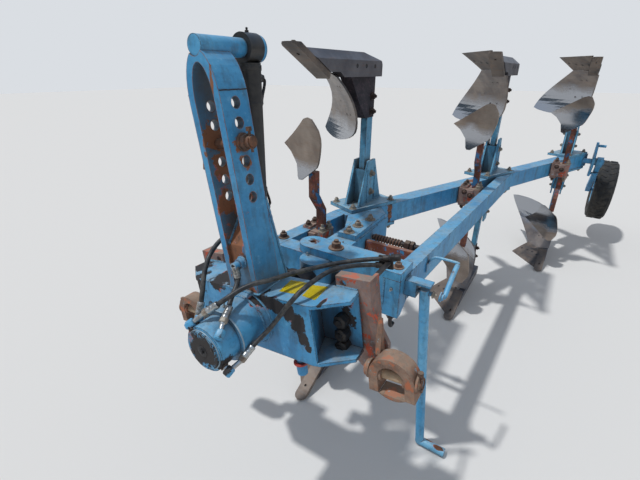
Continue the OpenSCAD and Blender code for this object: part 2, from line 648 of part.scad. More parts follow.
function curve(p, n) = concat([for (i = [0:len(p) - 2], k = [0:n - 1])
    let (a = p[max(i - 1, 0)], b = p[i], c = p[i + 1], d = p[min(i + 2, len(p) - 1)], t = k / n)
    (2 * b + (c - a) * t + (2 * a - 5 * b + 4 * c - d) * t * t + (3 * b - a - 3 * c + d) * t * t * t) / 2],
    [p[len(p) - 1]]);
function unit(v) = v / norm(v);
module tube(path, r, up, sides = 8) {
    n = len(path);
    points = [for (i = [0:n - 1]) let (t = unit(path[min(i + 1, n - 1)] - path[max(i - 1, 0)]),
        u = unit(cross(up, t)), v = cross(t, u)) for (j = [0:sides - 1])
        path[i] + r * (u * cos(360 * j / sides) + v * sin(360 * j / sides))];
    end = (n - 1) * sides;
    function on_ring(i, j) = i * sides + j % sides;
    faces = concat(
        [for (i = [0:n - 2], j = [0:sides - 1]) [on_ring(i, j), on_ring(i + 1, j), on_ring(i + 1, j + 1)]],
        [for (i = [0:n - 2], j = [0:sides - 1]) [on_ring(i, j), on_ring(i + 1, j + 1), on_ring(i, j + 1)]],
        [for (j = [1:sides - 2]) [0, j, j + 1]],
        [for (j = [1:sides - 2]) [end, end + j + 1, end + j]]);
    polyhedron(points, faces);
}
module hose_lines() color("black") in_headstock() for (i = [0:3])
    tube(curve(hose_paths[i], 2), hose_r, hose_up[i]);
// each fitting: its foot on the swivel, its bend, and the hose that it takes
fitting_feet = [[250, -40, 58], [243, 58, -50], [236, 52, 46], [205, -56, 44]];
fitting_bends = [[250, -48, 74], [243, 76, -64], [236, 66, 60], [205, -70, 58]];
module hose_fittings() color("silver") in_headstock() difference() {
    for (i = [0:3]) let (h = hose_paths[i][0], d = unit(hose_paths[i][0] - hose_paths[i][1])) {
        bar_between(fitting_feet[i], fitting_bends[i], 9);
        translate(fitting_bends[i]) sphere(r = 10.5);
        bar_between(fitting_bends[i], h + 22 * d, 7.5);
        translate(h + 22 * d) sphere(r = 9);
        bar_between(h + seat * d, h + 22 * d, 10);
    }
    rod_x(150, 256, swivel_d / 2 + seat);
    rod_x(200, 300, swivel_d / 2 - 11 + seat);
    rod_x(0, hub_x[1] + seat, hub_d / 2 + seat);
}

// Turnover cylinder, from the top bar down to the crank pin
crank_angle = headstock_roll - 63;  // from the tower, with the crank on the right
crank_pin = [crank_r * sin(crank_angle), crank_r * cos(crank_angle)];
cyl_run = norm([crank_pin[0], top_bar_w - crank_pin[1]]);
cyl_tilt = atan2(crank_pin[0], top_bar_w - crank_pin[1]);
cyl_x = -150;
module along_cylinder() in_headstock() translate([cyl_x, 0, top_bar_w]) rotate([cyl_tilt, 0, 0]) children();
barrel_end = 590;
rod_l = 410;  // from the eye's middle to the inner end
rod_eye = 27;
module cylinder_barrel() color("dimgray") along_cylinder() difference() {
    union() {
        rod_x(-30, 30, 44);
        translate([0, 0, -barrel_end]) cylinder(h = barrel_end - 40, r = barrel_d / 2);
    }
    rod_x(-40, 40, top_bar_d / 2 + fit);
    translate([0, 0, -barrel_end - 1]) cylinder(h = rod_bore + 1, r = rod_d / 2 + fit);
}
module cylinder_rod() color("silver") along_cylinder() translate([0, 0, -cyl_run]) {
    translate([0, 0, 20]) cylinder(h = rod_l - 20, r = rod_d / 2);
    rod_x(-22, 22, rod_eye);
    rod_x(crank_x[1] + seat - cyl_x, -22, 14);
}

place() main_beam();
place() side_beam();
place() right_arm();
place() cross_arm();
place() axle_head();
place() turnover_axle();
place() tie_plate();
place() width_strut();
place() width_spindle();
place() leg_bases();
place() leg_brackets();
place() legs_upper();
place() legs_lower();
place() frogs_upper();
place() frogs_lower();
place() mouldboards_upper();
place() mouldboards_lower();
place() shares_upper();
place() shares_lower();
place() points_upper();
place() points_lower();
place() landsides_upper();
place() landsides_lower();
place() skimmer_clamps();
place() skimmer_stalks_upper();
place() skimmer_stalks_lower();
place() skimmer_boards_upper();
place() skimmer_boards_lower();
place() stand_holder();
place() stand_leg();
place() wheel_bracket();
place() wheel_arm();
place() wheel_rim();
place() wheel_tyre();
place() cross_beam();
place() swivel();
place() tower();
place() tower_braces();
place() top_bar();
place() link_plates();
place() hitch_arches();
place() hitch_pins();
place() top_link_pin();
place() hose_guide();
place() hose_lines();
place() hose_fittings();
place() cylinder_barrel();
place() cylinder_rod();
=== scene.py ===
"""Looks of a parked three-furrow reversible mouldboard plough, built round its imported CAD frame.

Points are in metres in the frame's own axes: +X is the direction of travel, +Y the left side, +Z up. The sizes of
shapes, and places that at() and on_headstock() turn into points, are in millimetres.
"""

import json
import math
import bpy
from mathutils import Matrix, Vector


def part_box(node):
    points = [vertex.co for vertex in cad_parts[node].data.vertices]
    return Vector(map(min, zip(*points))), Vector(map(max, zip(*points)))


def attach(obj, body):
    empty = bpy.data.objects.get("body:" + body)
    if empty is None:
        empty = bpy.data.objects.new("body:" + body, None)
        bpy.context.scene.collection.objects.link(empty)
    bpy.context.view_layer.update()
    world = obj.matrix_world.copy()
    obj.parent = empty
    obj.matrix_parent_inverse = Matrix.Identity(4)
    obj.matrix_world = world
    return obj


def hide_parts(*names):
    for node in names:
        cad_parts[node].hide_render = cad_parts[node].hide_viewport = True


bl_info = {
    "name": "Reversible mouldboard plough",
    "version": (1, 0, 0),
    "blender": (4, 5, 0),
    "location": "View3D > Sidebar > Plough",
    "description": "Finishes, fasteners, welds, hoses and stage of a mounted reversible plough",
    "category": "Object",
}

import bmesh
import bpy
from bpy.props import FloatProperty, PointerProperty, StringProperty
from mathutils import Matrix, Vector, noise

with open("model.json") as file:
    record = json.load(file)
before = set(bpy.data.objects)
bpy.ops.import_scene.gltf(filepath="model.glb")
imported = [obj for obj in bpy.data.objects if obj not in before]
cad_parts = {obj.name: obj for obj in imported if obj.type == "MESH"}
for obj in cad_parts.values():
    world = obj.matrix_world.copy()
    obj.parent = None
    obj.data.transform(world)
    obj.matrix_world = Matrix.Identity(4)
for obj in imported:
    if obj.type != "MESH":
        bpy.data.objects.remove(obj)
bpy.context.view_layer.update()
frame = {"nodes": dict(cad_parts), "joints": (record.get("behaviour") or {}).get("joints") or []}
JOINTS = {joint["name"]: joint for joint in frame["joints"]}
WHEEL = Vector(JOINTS["wheel_spin"]["pos_m"])

# The swivel is round about the turnover axle, and its front stands 264 mm ahead of the hitch pins
SWIVEL_FACE = 264
SWIVEL_LOW, SWIVEL_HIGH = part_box("swivel")
AXLE = (SWIVEL_LOW + SWIVEL_HIGH) / 2
AXLE.x = SWIVEL_HIGH.x - SWIVEL_FACE / 1000
ROLL = Matrix.Rotation(math.radians(8), 4, "X")
FRAME_TOP = 938  # above the ground
BASE_TOP = FRAME_TOP + 20
TIP = Vector((-360, -100))  # the first body's point, from the axle's foot
LEG = Vector((-1080, -167))  # the first leg
CLAMP = Vector((-622, -157))  # the first skimmer's clamp
PITCH = Vector((-1180, 470))  # from one body to the next
BEAM_ANGLE = math.atan2(PITCH.y, -PITCH.x)
BODIES = range(3)
HITCH = (-45, 482.5, -145)  # the middle of the left lower hitch pin, on the headstock
TOP_PIN = (4, 580)  # forward of and above the axle
TOP_BAR = 845  # above the axle
STAND_PIVOT = (-420, 888)  # forward of the axle's foot, and its height
SPINDLE = (-750, 900)  # likewise
FORWARD, LEFT, UP = Vector((1, 0, 0)), Vector((0, 1, 0)), Vector((0, 0, 1))
FRONT, SIDE, TOP = (ROLL @ way for way in (FORWARD, LEFT, UP))  # the same on the rolled headstock


def at(x, y, z):
    """A point by its distance from the axle's foot on the ground."""
    return Vector((AXLE.x + x / 1000, AXLE.y + y / 1000, z / 1000))


def on_headstock(x, u, w):
    """A point of the rolled headstock, forward, left and up from the axle."""
    return AXLE + (ROLL @ Vector((x, u, w))) / 1000


def mirror_z(point):
    """The same place on the upper set of bodies."""
    return Vector((point.x, point.y, 2 * AXLE.z - point.z))


def upside(way):
    return Vector((way.x, way.y, -way.z))


def linear(code):
    """An sRGB hex colour as linear RGBA."""
    parts = [int(code[i : i + 2], 16) / 255 for i in (1, 3, 5)]
    return tuple(c / 12.92 if c <= 0.04045 else ((c + 0.055) / 1.055) ** 2.4 for c in parts) + (1.0,)


def add(tree, kind, inputs=(), **settings):
    """Adds a node with its settings, values and links."""
    node = tree.nodes.new(kind)
    for name, value in settings.items():
        setattr(node, name, value)
    for key, value in dict(inputs).items():
        if isinstance(value, bpy.types.NodeSocket):
            tree.links.new(value, node.inputs[key])
        else:
            node.inputs[key].default_value = value
    return node


def put(tree, kind, inputs=(), **settings):
    """Adds a node and gives its first output."""
    return add(tree, kind, inputs, **settings).outputs[0]


def calc(tree, operation, *values, **settings):
    """A sum on numbers."""
    return put(tree, "ShaderNodeMath", dict(enumerate(values)), operation=operation, **settings)


def fused(tree, value, factor, plus):
    return calc(tree, "MULTIPLY_ADD", value, factor, plus)


def times(tree, one, other):
    return calc(tree, "MULTIPLY", one, other)


def part(tree, vector, axis):
    return add(tree, "ShaderNodeSeparateXYZ", {0: vector}).outputs[axis]


def facing(tree, axis):
    """How far the surface looks along an axis."""
    return part(tree, add(tree, "ShaderNodeNewGeometry").outputs["Normal"], axis)


def new_material(name):
    """A material with nothing in it, and its own tree."""
    material = bpy.data.materials.new(name)
    material.use_nodes = True
    material.node_tree.nodes.clear()
    return material, material.node_tree


def new_surface(name):
    """A material, its tree and the object's own coordinates."""
    material, tree = new_material(name)
    return material, tree, add(tree, "ShaderNodeTexCoord").outputs["Object"]


def close_material(tree, **inputs):
    """The surface shader and the output."""
    names = {key.replace("_", " "): value for key, value in inputs.items()}
    add(tree, "ShaderNodeOutputMaterial", {"Surface": put(tree, "ShaderNodeBsdfPrincipled", names)})


def rounding(tree, radius):
    """The normal as it is with every sharp edge rounded."""
    return put(tree, "ShaderNodeBevel", {"Radius": radius}, samples=6)


def worn_edge(tree, radius):
    """1 along sharp edges and 0 on flat faces, from how a rounded normal leaves the true one."""
    flat = add(tree, "ShaderNodeNewGeometry").outputs["True Normal"]
    same = add(tree, "ShaderNodeVectorMath", {0: rounding(tree, radius), 1: flat}, operation="DOT_PRODUCT")
    return ranged(tree, same.outputs["Value"], 0.995, 0.80)


def blot(tree, where, ragged, centre, half):
    """How far a point lies from the middle of a patch with a torn outline: below 1 is inside."""
    local = put(tree, "ShaderNodeVectorMath", {0: where, 1: centre}, operation="SUBTRACT")
    local = put(tree, "ShaderNodeVectorMath", {0: local, 1: half}, operation="DIVIDE")
    far = add(tree, "ShaderNodeVectorMath", {0: local}, operation="LENGTH").outputs["Value"]
    return calc(tree, "ADD", ragged, far)


def mixed(tree, factor, under, over):
    """The colour under, with the colour over on it where factor is 1. Either may be a hex code."""
    under, over = (linear(c) if isinstance(c, str) else c for c in (under, over))
    return add(tree, "ShaderNodeMix", {0: factor, 6: under, 7: over}, data_type="RGBA").outputs[2]


def clouds(tree, where, scale, detail=6.0, roughness=0.65):
    inputs = {"Vector": where, "Scale": scale, "Detail": detail, "Roughness": roughness}
    return put(tree, "ShaderNodeTexNoise", inputs)


def ranged(tree, value, low, high, start=0.0, end=1.0):
    return put(tree, "ShaderNodeMapRange", {0: value, 1: low, 2: high, 3: start, 4: end})


def laid(tree, colour, over, value, low, high, most=1.0):
    """A colour with another on it, from none where the value is low to most of it where the value is high."""
    return mixed(tree, ranged(tree, value, low, high, 0.0, most), colour, over)


def rounded_bump(tree, height, strength, distance, radius=0.0025):
    """Relief on a normal that is rounded over sharp edges, as every rolled or cut edge is."""
    inputs = {"Strength": strength, "Distance": distance, "Height": height}
    if radius:
        inputs["Normal"] = rounding(tree, radius)
    return put(tree, "ShaderNodeBump", inputs)


# the third colour is laid in corners, as grime and painted shade together
PRIMER, DUST, GRIME_AND_SHADE = "#B4583A", "#B3B2A8", "#554E43"


def painted_steel(name, paint, sunned, chips=0.5, edges=0.34, dust=0.40, grime_and_shade=0.75, rusty=0.35, blots=(),
    bare="#2C2827", rusted="#7A4E36", reach=0.08):
    """Alkyd machinery enamel, brushed over red oxide primer: satin, paler where the sun and rain reach it, grimy
    in the corners and darkened there with painted shade, dusty on top, pale along the edges with rubbed paint and a
    painted highlight, and chipped at the edges to primer, dark scale and brown rust."""
    material, tree, where = new_surface(name)
    broad = clouds(tree, where, 3.6, 5.0, 0.6)  # patches of some 250 mm
    ragged = clouds(tree, where, 15.0, 10.0, 0.72)  # torn outlines
    mottle = clouds(tree, where, 52.0, 8.0, 0.7)  # brush marks and chips of 10 to 20 mm
    rain = put(tree, "ShaderNodeMapping", {"Vector": where, "Scale": (34.0, 34.0, 2.6)})
    streak = clouds(tree, rain, 1.0, 5.0, 0.6)
    edge = worn_edge(tree, 0.006)
    up = facing(tree, 2)
    # ambient occlusion finds the corners, which get a colour that is partly grime and partly painted shade
    corner = add(tree, "ShaderNodeAmbientOcclusion", {"Distance": reach}, samples=6, only_local=False).outputs["AO"]
    # the paint
    colour = laid(tree, paint, sunned, fused(tree, up, 0.10, broad), 0.40, 0.66)
    colour = laid(tree, colour, "#1C5A83", mottle, 0.52, 0.70, 0.45)
    colour = laid(tree, colour, "#86BFD9", mottle, 0.42, 0.30, 0.42)
    # pale blue along sharp edges: paint rubbed thin there, and a painted highlight where the edges catch the light
    colour = mixed(tree, times(tree, edge, ranged(tree, ragged, 0.38, 0.58, 0.15, 0.75)), colour, "#9CC3D2")
    # grime that runs down; grime and painted shade, from ambient occlusion, in the corners; dust on what faces up
    colour = laid(tree, colour, "#3A5464", times(tree, streak, ragged), 0.25, 0.38, 0.6)
    colour = laid(tree, colour, GRIME_AND_SHADE, fused(tree, ragged, 0.60, corner), 1.08, 0.70, grime_and_shade)
    dusty = times(tree, ranged(tree, up, 0.5, 0.95), ranged(tree, ragged, 0.40, 0.64, 0.15, 1.0))
    colour = mixed(tree, times(tree, dusty, dust), colour, DUST)
    # where it has gone: a rim of primer here and there, and dark steel with rust inside
    height = fused(tree, ragged, 0.55, fused(tree, edge, edges, mottle))
    line = 1.10 - 0.16 * chips
    gone = ranged(tree, height, line, line + 0.015)
    rim = ranged(tree, height, line - 0.035, line - 0.02)
    if blots:
        torn = fused(tree, mottle, 1.3, fused(tree, ragged, 3.0, -1.5))
        torn = calc(tree, "ADD", torn, -0.65)
        near = blot(tree, where, torn, *blots[0])
        for centre, half in blots[1:]:
            near = calc(tree, "MINIMUM", near, blot(tree, where, torn, centre, half))
        gone = calc(tree, "MAXIMUM", gone, ranged(tree, near, 1.0, 0.95))
        rim = calc(tree, "MAXIMUM", rim, ranged(tree, near, 1.16, 1.08))
    rim = times(tree, rim, ranged(tree, clouds(tree, where, 7.0, 3.0), 0.52, 0.58))
    rust = ranged(tree, clouds(tree, where, 23.0, 9.0, 0.75), 0.72 - 0.4 * rusty, 0.86 - 0.4 * rusty)
    colour = mixed(tree, rim, colour, PRIMER)
    colour = mixed(tree, gone, colour, mixed(tree, rust, bare, rusted))
    rough = fused(tree, mottle, 0.16, ranged(tree, gone, 0.0, 1.0, 0.38, 0.72))
    relief = rounded_bump(tree, fused(tree, gone, -0.6, mottle), 0.4, 0.0012)
    close_material(tree, Base_Color=colour, Roughness=rough, Normal=relief)
    return material


def rusted_steel(name, dark, light, remains=None, kept=0.0, second=None, speck="#A9683F"):
    """Rolled steel left outdoors: dry brown rust, matt and pitted, with what is left of primer and paint on it."""
    material, tree, where = new_surface(name)
    pits = clouds(tree, where, 70.0, 9.0, 0.72)
    colour = laid(tree, dark, light, clouds(tree, where, 11.0, 8.0, 0.68), 0.36, 0.62)
    colour = laid(tree, colour, speck, pits, 0.50, 0.68, 0.55)
    colour = laid(tree, colour, "#2E2624", pits, 0.42, 0.30, 0.6)
    if remains:
        worn = worn_edge(tree, 0.008)
        for paint, share, scale in ((remains, kept, 14.0), (second, kept * 0.75, 23.0)):
            flake = fused(tree, worn, -0.2, clouds(tree, where, scale, 9.0, 0.72))
            line = 0.74 - 0.5 * share
            colour = laid(tree, colour, paint, flake, line, line + 0.025)
    colour = laid(tree, colour, "#A79B8A", facing(tree, 2), 0.5, 1.0, 0.28)
    relief = rounded_bump(tree, pits, 0.55, 0.0014)
    close_material(tree, Base_Color=colour, Roughness=0.84, Metallic=0.05, Normal=relief)
    return material


def scoured_steel(name, film, bright, mirror, dull=0.40, low=0.12, metal=0.55, tone="#857B73"):
    """Hardened plough steel scoured by soil: near mirror-bright where the furrow slice turned last, under a thin
    grey-brown film of flash rust elsewhere, with fine scratches along the furrow."""
    material, tree, where = new_surface(name)
    inputs = {"Vector": where, "Rotation": (0.0, 0.0, 0.75), "Scale": (4.0, 4.0, 60.0)}
    scratch = clouds(tree, put(tree, "ShaderNodeMapping", inputs), 3.0, 8.0, 0.7)
    cloud = clouds(tree, where, 6.0, 8.0, 0.62)
    # mirror holds the heights from the axle where the face is bright and where it isn't
    away = calc(tree, "ABSOLUTE", calc(tree, "SUBTRACT", part(tree, where, 2), AXLE.z))
    away = fused(tree, part(tree, where, 0), 0.05, away)  # the bodies behind keep less film
    away = fused(tree, scratch, 0.05, fused(tree, cloud, 0.16, away))
    clean = ranged(tree, away, mirror[1] + 0.105, mirror[0] + 0.105)
    # only the face that turns the soil, to the right, is scoured
    clean = times(tree, clean, ranged(tree, facing(tree, 1), 0.12, -0.02))
    dirt = laid(tree, film, tone, cloud, 0.38, 0.62)
    colour = mixed(tree, clean, laid(tree, dirt, "#8E6B50", scratch, 0.52, 0.72, 0.45), bright)
    grain = ranged(tree, scratch, 0.3, 0.7, -0.04, 0.10)
    rough = calc(tree, "ADD", ranged(tree, clean, 0.0, 1.0, dull, low), grain, use_clamp=True)
    metal = ranged(tree, clean, 0.0, 1.0, metal, 1.0)
    relief = rounded_bump(tree, scratch, 0.10, 0.0006, 0.0015)
    close_material(tree, Base_Color=colour, Roughness=rough, Metallic=metal, Normal=relief)
    return material


def plain_finish(name, colour, second, rough, metal=0.0, grain=40.0, relief=0.0004, speck=0.5, rounded=0.0015):
    """One finish with a second tone in it, such as rubber, zinc or a film, and its own grain."""
    material, tree, where = new_surface(name)
    fine = clouds(tree, where, grain, 7.0)
    both = times(tree, fine, clouds(tree, where, grain / 7, 4.0))
    tone = laid(tree, colour, second, both, 0.20, 0.34, speck)
    wear = ranged(tree, fine, 0.3, 0.7, rough - 0.08, rough + 0.1)
    bump = rounded_bump(tree, fine, 0.4, relief, rounded)
    close_material(tree, Base_Color=tone, Roughness=wear, Metallic=metal, Normal=bump)
    return material


def patches(place, *rows):
    """Patches where the paint has gone: each row holds a middle and half sizes."""
    return [(place(*row[:3]), [size / 1000 for size in row[3:]]) for row in rows]


FINISH = {}


def make_finishes():
    blue, sunned = "#2D86B9", "#55A3CD"
    beam = patches(on_headstock, (58, 72, 80, 30, 34, 20), (58, 128, 72, 30, 45, 30), (58, 180, 58, 30, 32, 36),
        (58, 208, 18, 30, 30, 44), (58, 224, -26, 30, 24, 30), (58, 240, -56, 30, 12, 14),
        (40, -265, 70, 60, 45, 40), (40, -215, -30, 40, 30, 50), (20, -150, 100, 80, 55, 30),
        (30, 70, 106, 18, 14, 10), (-20, -330, 98, 60, 40, 20), (-88, 306, -50, 12, 30, 105),
        (-88, -306, -50, 12, 30, 105), (40, 290, 100, 50, 6, 6))
    tower = patches(on_headstock, (4, -38, 620, 70, 8, 75), (4, -38, 520, 40, 8, 50), (4, 66, 580, 36, 6, 36),
        (4, 66, 524, 26, 6, 30), (10, -38, 400, 45, 8, 70), (8, 0, 318, 100, 38, 120),
        (30, -38, 230, 30, 8, 90), (40, 30, 108, 30, 20, 20), (56, 44, 745, 6, 6, 50))
    swivel = patches(on_headstock, (266, 0, 0, 16, 70, 70), (236, -50, 45, 30, 30, 30), (240, 62, -40, 30, 30, 30))
    main = patches(at, (-1158, -20, 892, 16, 50, 75), (-1148, -70, 936, 20, 45, 20),
        (-2320, 440, 905, 20, 50, 60), (-1960, 260, 938, 50, 30, 10))
    arm = patches(at, (-411, 118, 938, 35, 50, 12), (-372, 30, 925, 12, 50, 20), (-395, 300, 938, 30, 18, 12),
        (-411, -58, 938, 30, 30, 50))
    foot = patches(at, (-485, 600, 41, 10, 22, 6), (-506, 552, 44, 12, 20, 20))
    FINISH.update(
        blue=painted_steel("enamel_blue", blue, sunned),
        blue_main=painted_steel("enamel_blue_main_beam", blue, sunned, rusty=0.8, rusted="#8A5A40", blots=main),
        blue_arm=painted_steel("enamel_blue_cross_arm", blue, sunned, 0.72, 0.42, rusty=0.7, blots=arm),
        blue_beam=painted_steel("enamel_blue_cross_beam", blue, sunned, 0.60, rusty=0.10, blots=beam),
        blue_swivel=painted_steel("enamel_blue_swivel", "#2E8DC2", "#57A7D2", 0.85, grime_and_shade=0.5, rusty=0.10,
            blots=swivel),
        # a wide reach and strong corner darkening put painted shade, with grime, on the inner faces between the
        # tower's flats
        blue_tower=painted_steel("enamel_blue_tower", blue, "#4D9CC8", 0.66, 0.40, grime_and_shade=0.9, rusty=1.0,
            blots=tower, bare="#4D3B31", rusted="#87593D", reach=0.22),
        blue_leg=painted_steel("enamel_blue_legs", "#3B88AF", "#6AAAC8", 0.8, 0.5, 0.6, rusty=0.6),
        blue_stand=painted_steel("enamel_blue_stand", "#469BCB", "#7FBFDE", 0.75, grime_and_shade=0.5, rusty=0.9, blots=foot),
        rust=rusted_steel("brown_rust", "#5A4032", "#87614A"),
        rust_pale=rusted_steel("pale_rust", "#8A7560", "#B8A387"),
        rust_primer=rusted_steel("rust_with_primer", "#73605A", "#96827B", "#BE5336", 0.38, "#8FA2AC"),
        rust_arch=rusted_steel("rust_with_ochre", "#6A5245", "#9A8270", "#AE6848", 0.36, "#7D9AA6"),
        rust_blue=rusted_steel("rust_with_paint", "#4A302A", "#75473A", "#2F6A96", 0.40, "#A8483A"),
        primer=rusted_steel("red_oxide", "#7A4132", "#96513C", "#4089B4", 0.38, "#9B8B7C"),
        board=scoured_steel("scoured_board", "#5A5554", "#A3A7AE", (0.53, 0.62)),
        small_board=scoured_steel("scoured_skimmer_board", "#776A60", "#A5A8AE", (0.43, 0.485), tone="#978A7E"),
        share=scoured_steel("scoured_share", "#45403E", "#7F7C7A", (1.40, 1.20), 0.55, metal=0.30, tone="#776A5F"),
        landside=scoured_steel("worn_landside", "#4A4A50", "#76767A", (1.40, 1.20), 0.42, metal=0.45,
            tone="#6E6D72"),
        frog=rusted_steel("frog_casting", "#222128", "#3C383D", speck="#66505A"),
        black=plain_finish("black_enamel", "#131518", "#443F3A", 0.40, grain=30.0),
        iron=plain_finish("black_iron", "#232326", "#55463B", 0.55, 0.35, 50.0),
        grimy=plain_finish("grimy_iron", "#201E1E", "#4B433B", 0.50, 0.2, 60.0, speck=0.7),
        chrome=plain_finish("hard_chrome", "#C6C8CA", "#A8A9AB", 0.14, 1.0, 60.0, 0.0001),
        zinc=plain_finish("zinc_plate", "#B8B9B6", "#6E665C", 0.34, 0.85, 80.0, speck=0.7),
        pale_bolt=plain_finish("weathered_zinc", "#9A9284", "#6A4C3A", 0.55, 0.30, 90.0, speck=0.8),
        brown_bolt=rusted_steel("rusty_fastener", "#4E3D33", "#84695A"),
        dark_bolt=rusted_steel("dark_fastener", "#2B211E", "#4E3A31", speck="#6B4A3A"),
        hose=plain_finish("hose_rubber", "#1C1D1F", "#5A5852", 0.48, 0.0, 70.0, 0.0003, 0.6),
        tyre=plain_finish("tyre_rubber", "#222222", "#5B564E", 0.80, 0.0, 24.0, 0.0008),
        film=plain_finish("sticker_film", "#F4DE1E", "#C9B13A", 0.34, 0.0, 34.0, 0.0001, 0.6, rounded=0),
        red=plain_finish("red_plastic", "#B3382C", "#8A3A30", 0.42, 0.0, 60.0, 0.0001),
        pale=plain_finish("rubbed_edge", "#9DB4C0", "#5E8FB0", 0.45, 0.2, 60.0),
        weld=painted_steel("weld_bead", blue, "#68A9CB", 0.8, dust=0.5, grime_and_shade=0.5),
    )


NODE_FINISH = {
    "blue": "side_beam right_arm axle_head tie_plate wheel_bracket wheel_arm wheel_rim stand_holder hose_guide",
    "blue_main": "main_beam",
    "blue_arm": "cross_arm",
    "blue_beam": "cross_beam top_bar tower_braces",
    "blue_swivel": "swivel",
    "blue_tower": "tower",
    "blue_leg": "leg_bases leg_brackets legs_upper legs_lower",
    "blue_stand": "stand_leg",
    "rust_primer": "link_plates skimmer_clamps",
    "rust_arch": "hitch_arches",
    "rust_blue": "skimmer_stalks_upper skimmer_stalks_lower",
    "primer": "width_strut",
    "rust": "top_link_pin",
    "rust_pale": "hitch_pins",
    "board": "mouldboards_upper mouldboards_lower",
    "small_board": "skimmer_boards_upper skimmer_boards_lower",
    "share": "shares_upper shares_lower points_upper points_lower",
    "landside": "landsides_upper landsides_lower",
    "frog": "frogs_upper frogs_lower",
    "iron": "turnover_axle width_spindle",
    "black": "cylinder_barrel",
    "chrome": "cylinder_rod",
    "tyre": "wheel_tyre",
    "zinc": "hose_fittings",
}


def dress_nodes():
    for finish, names in NODE_FINISH.items():
        for name in names.split():
            materials = frame["nodes"][name].data.materials
            materials.clear()
            materials.append(FINISH[finish])


def to_mesh(name, bm):
    mesh = bpy.data.meshes.new(name)
    bm.to_mesh(mesh)
    bm.free()
    return mesh


def linked(name, data):
    """A new object in the scene."""
    obj = bpy.data.objects.new(name, data)
    bpy.context.scene.collection.objects.link(obj)
    return obj


def circle(middle, way, radius, count):
    """Points in metres round a middle, square to a way."""
    z = Vector(way).normalized()
    x = z.orthogonal().normalized()
    y = z.cross(x)
    turns = [2 * math.pi * k / count for k in range(count)]
    return [middle + (x * math.cos(t) + y * math.sin(t)) * radius / 1000 for t in turns]


def ring_path(middle, way, radius, count=40):
    """A closed round path, which ends where it starts."""
    points = circle(middle, way, radius, count)
    return points + points[:1]


# Shapes: every one goes into a bmesh at its place
def lathe(bm, foot, way, profile, sides=24):
    """A turned shape: profile holds (distance along the axis, radius). Six sides make a hexagon."""
    z = Vector(way).normalized()
    rings = []
    for along, radius in profile:
        middle = Vector(foot) + z * along / 1000
        spots = circle(middle, way, radius, sides) if radius else [middle]
        rings.append([bm.verts.new(p) for p in spots])
    for a, b in zip(rings, rings[1:]):
        for k in range(sides):
            ring = [a[k % len(a)], a[(k + 1) % len(a)], b[(k + 1) % len(b)], b[k % len(b)]]
            bm.faces.new(list(dict.fromkeys(ring)))


def solid(*outline):
    """The profile of a full shape: the outline, closed to the axis at both ends."""
    return [(outline[0][0], 0), *outline, (outline[-1][0], 0)]


def bolt(radius, height):
    """The profile of a nut or head from its seat up, with a chamfered crown."""
    return solid((0, radius), (height * 0.86, radius), (height, radius * 0.86))


def ring(inner, outer, start, end):
    return [(start, inner), (start, outer), (end, outer), (end, inner), (start, inner)]


NIPPLE = [(0, 0), (0, 6), (5, 6), (5, 3.5), (11, 3), (13, 4.2), (16, 3), (17, 0)]


def sweep(bm, path, radius, sides=10):
    """A round bar or tube along points, with flat ends."""
    normal = None
    rings = []
    for i, point in enumerate(path):
        along = (path[min(i + 1, len(path) - 1)] - path[max(i - 1, 0)]).normalized()
        normal = along.orthogonal() if normal is None else normal - along * normal.dot(along)
        normal.normalize()
        side = along.cross(normal)
        turns = [2 * math.pi * k / sides for k in range(sides)]
        spots = [point + (normal * math.cos(t) + side * math.sin(t)) * radius / 1000 for t in turns]
        rings.append([bm.verts.new(p) for p in spots])
    for a, b in zip(rings, rings[1:]):
        for k in range(sides):
            n = (k + 1) % sides
            bm.faces.new((a[k], a[n], b[n], b[k]))
    bm.faces.new(rings[0])
    bm.faces.new(rings[-1])


def slab(bm, centre, half, turn=Matrix.Identity(4)):
    """A block by its middle and half sizes, turned by a matrix."""
    size = Matrix.Diagonal((*(edge / 500 for edge in half), 1.0))
    bmesh.ops.create_cube(bm, size=1.0, matrix=Matrix.Translation(centre) @ turn @ size)


def spline(points, steps=6):
    """Points on one smooth curve through the given ones."""
    last = len(points) - 1
    out = []
    for i in range(last):
        a, b, c, d = points[max(i - 1, 0)], points[i], points[i + 1], points[min(i + 2, last)]
        for t in (k / steps for k in range(steps)):
            bend = (2 * a - 5 * b + 4 * c - d) * t * t + (3 * b - a - 3 * c + d) * t**3
            out.append((2 * b + (c - a) * t + bend) / 2)
    return out + [points[last]]


def piece(name, bm, finish, body="headstock", edge=0.8):
    """A finished piece from a bmesh, at the origin, with eased edges, riding on a body."""
    bmesh.ops.recalc_face_normals(bm, faces=bm.faces)
    if edge:
        sharp = [e for e in bm.edges if e.is_manifold and e.calc_face_angle(0) > 0.7]
        bmesh.ops.bevel(bm, geom=sharp, offset=edge / 1000, segments=2, profile=0.6, affect="EDGES",
            clamp_overlap=True)
    return settled(name, to_mesh(name, bm), finish, body)


def turned(name, finish, lathes, body="headstock", edge=0.8):
    """A piece of turned shapes: each of them holds what lathe takes."""
    bm = bmesh.new()
    for shape in lathes:
        lathe(bm, *shape)
    return piece(name, bm, finish, body, edge)


def settled(name, mesh, finish, body):
    """Links a mesh as an object of its own, smooth but for its sharp edges."""
    mesh.shade_smooth()
    mesh.set_sharp_from_angle(angle=math.radians(38))
    mesh.materials.clear()
    mesh.materials.append(FINISH[finish])
    obj = linked(name, mesh)
    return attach(obj, body)


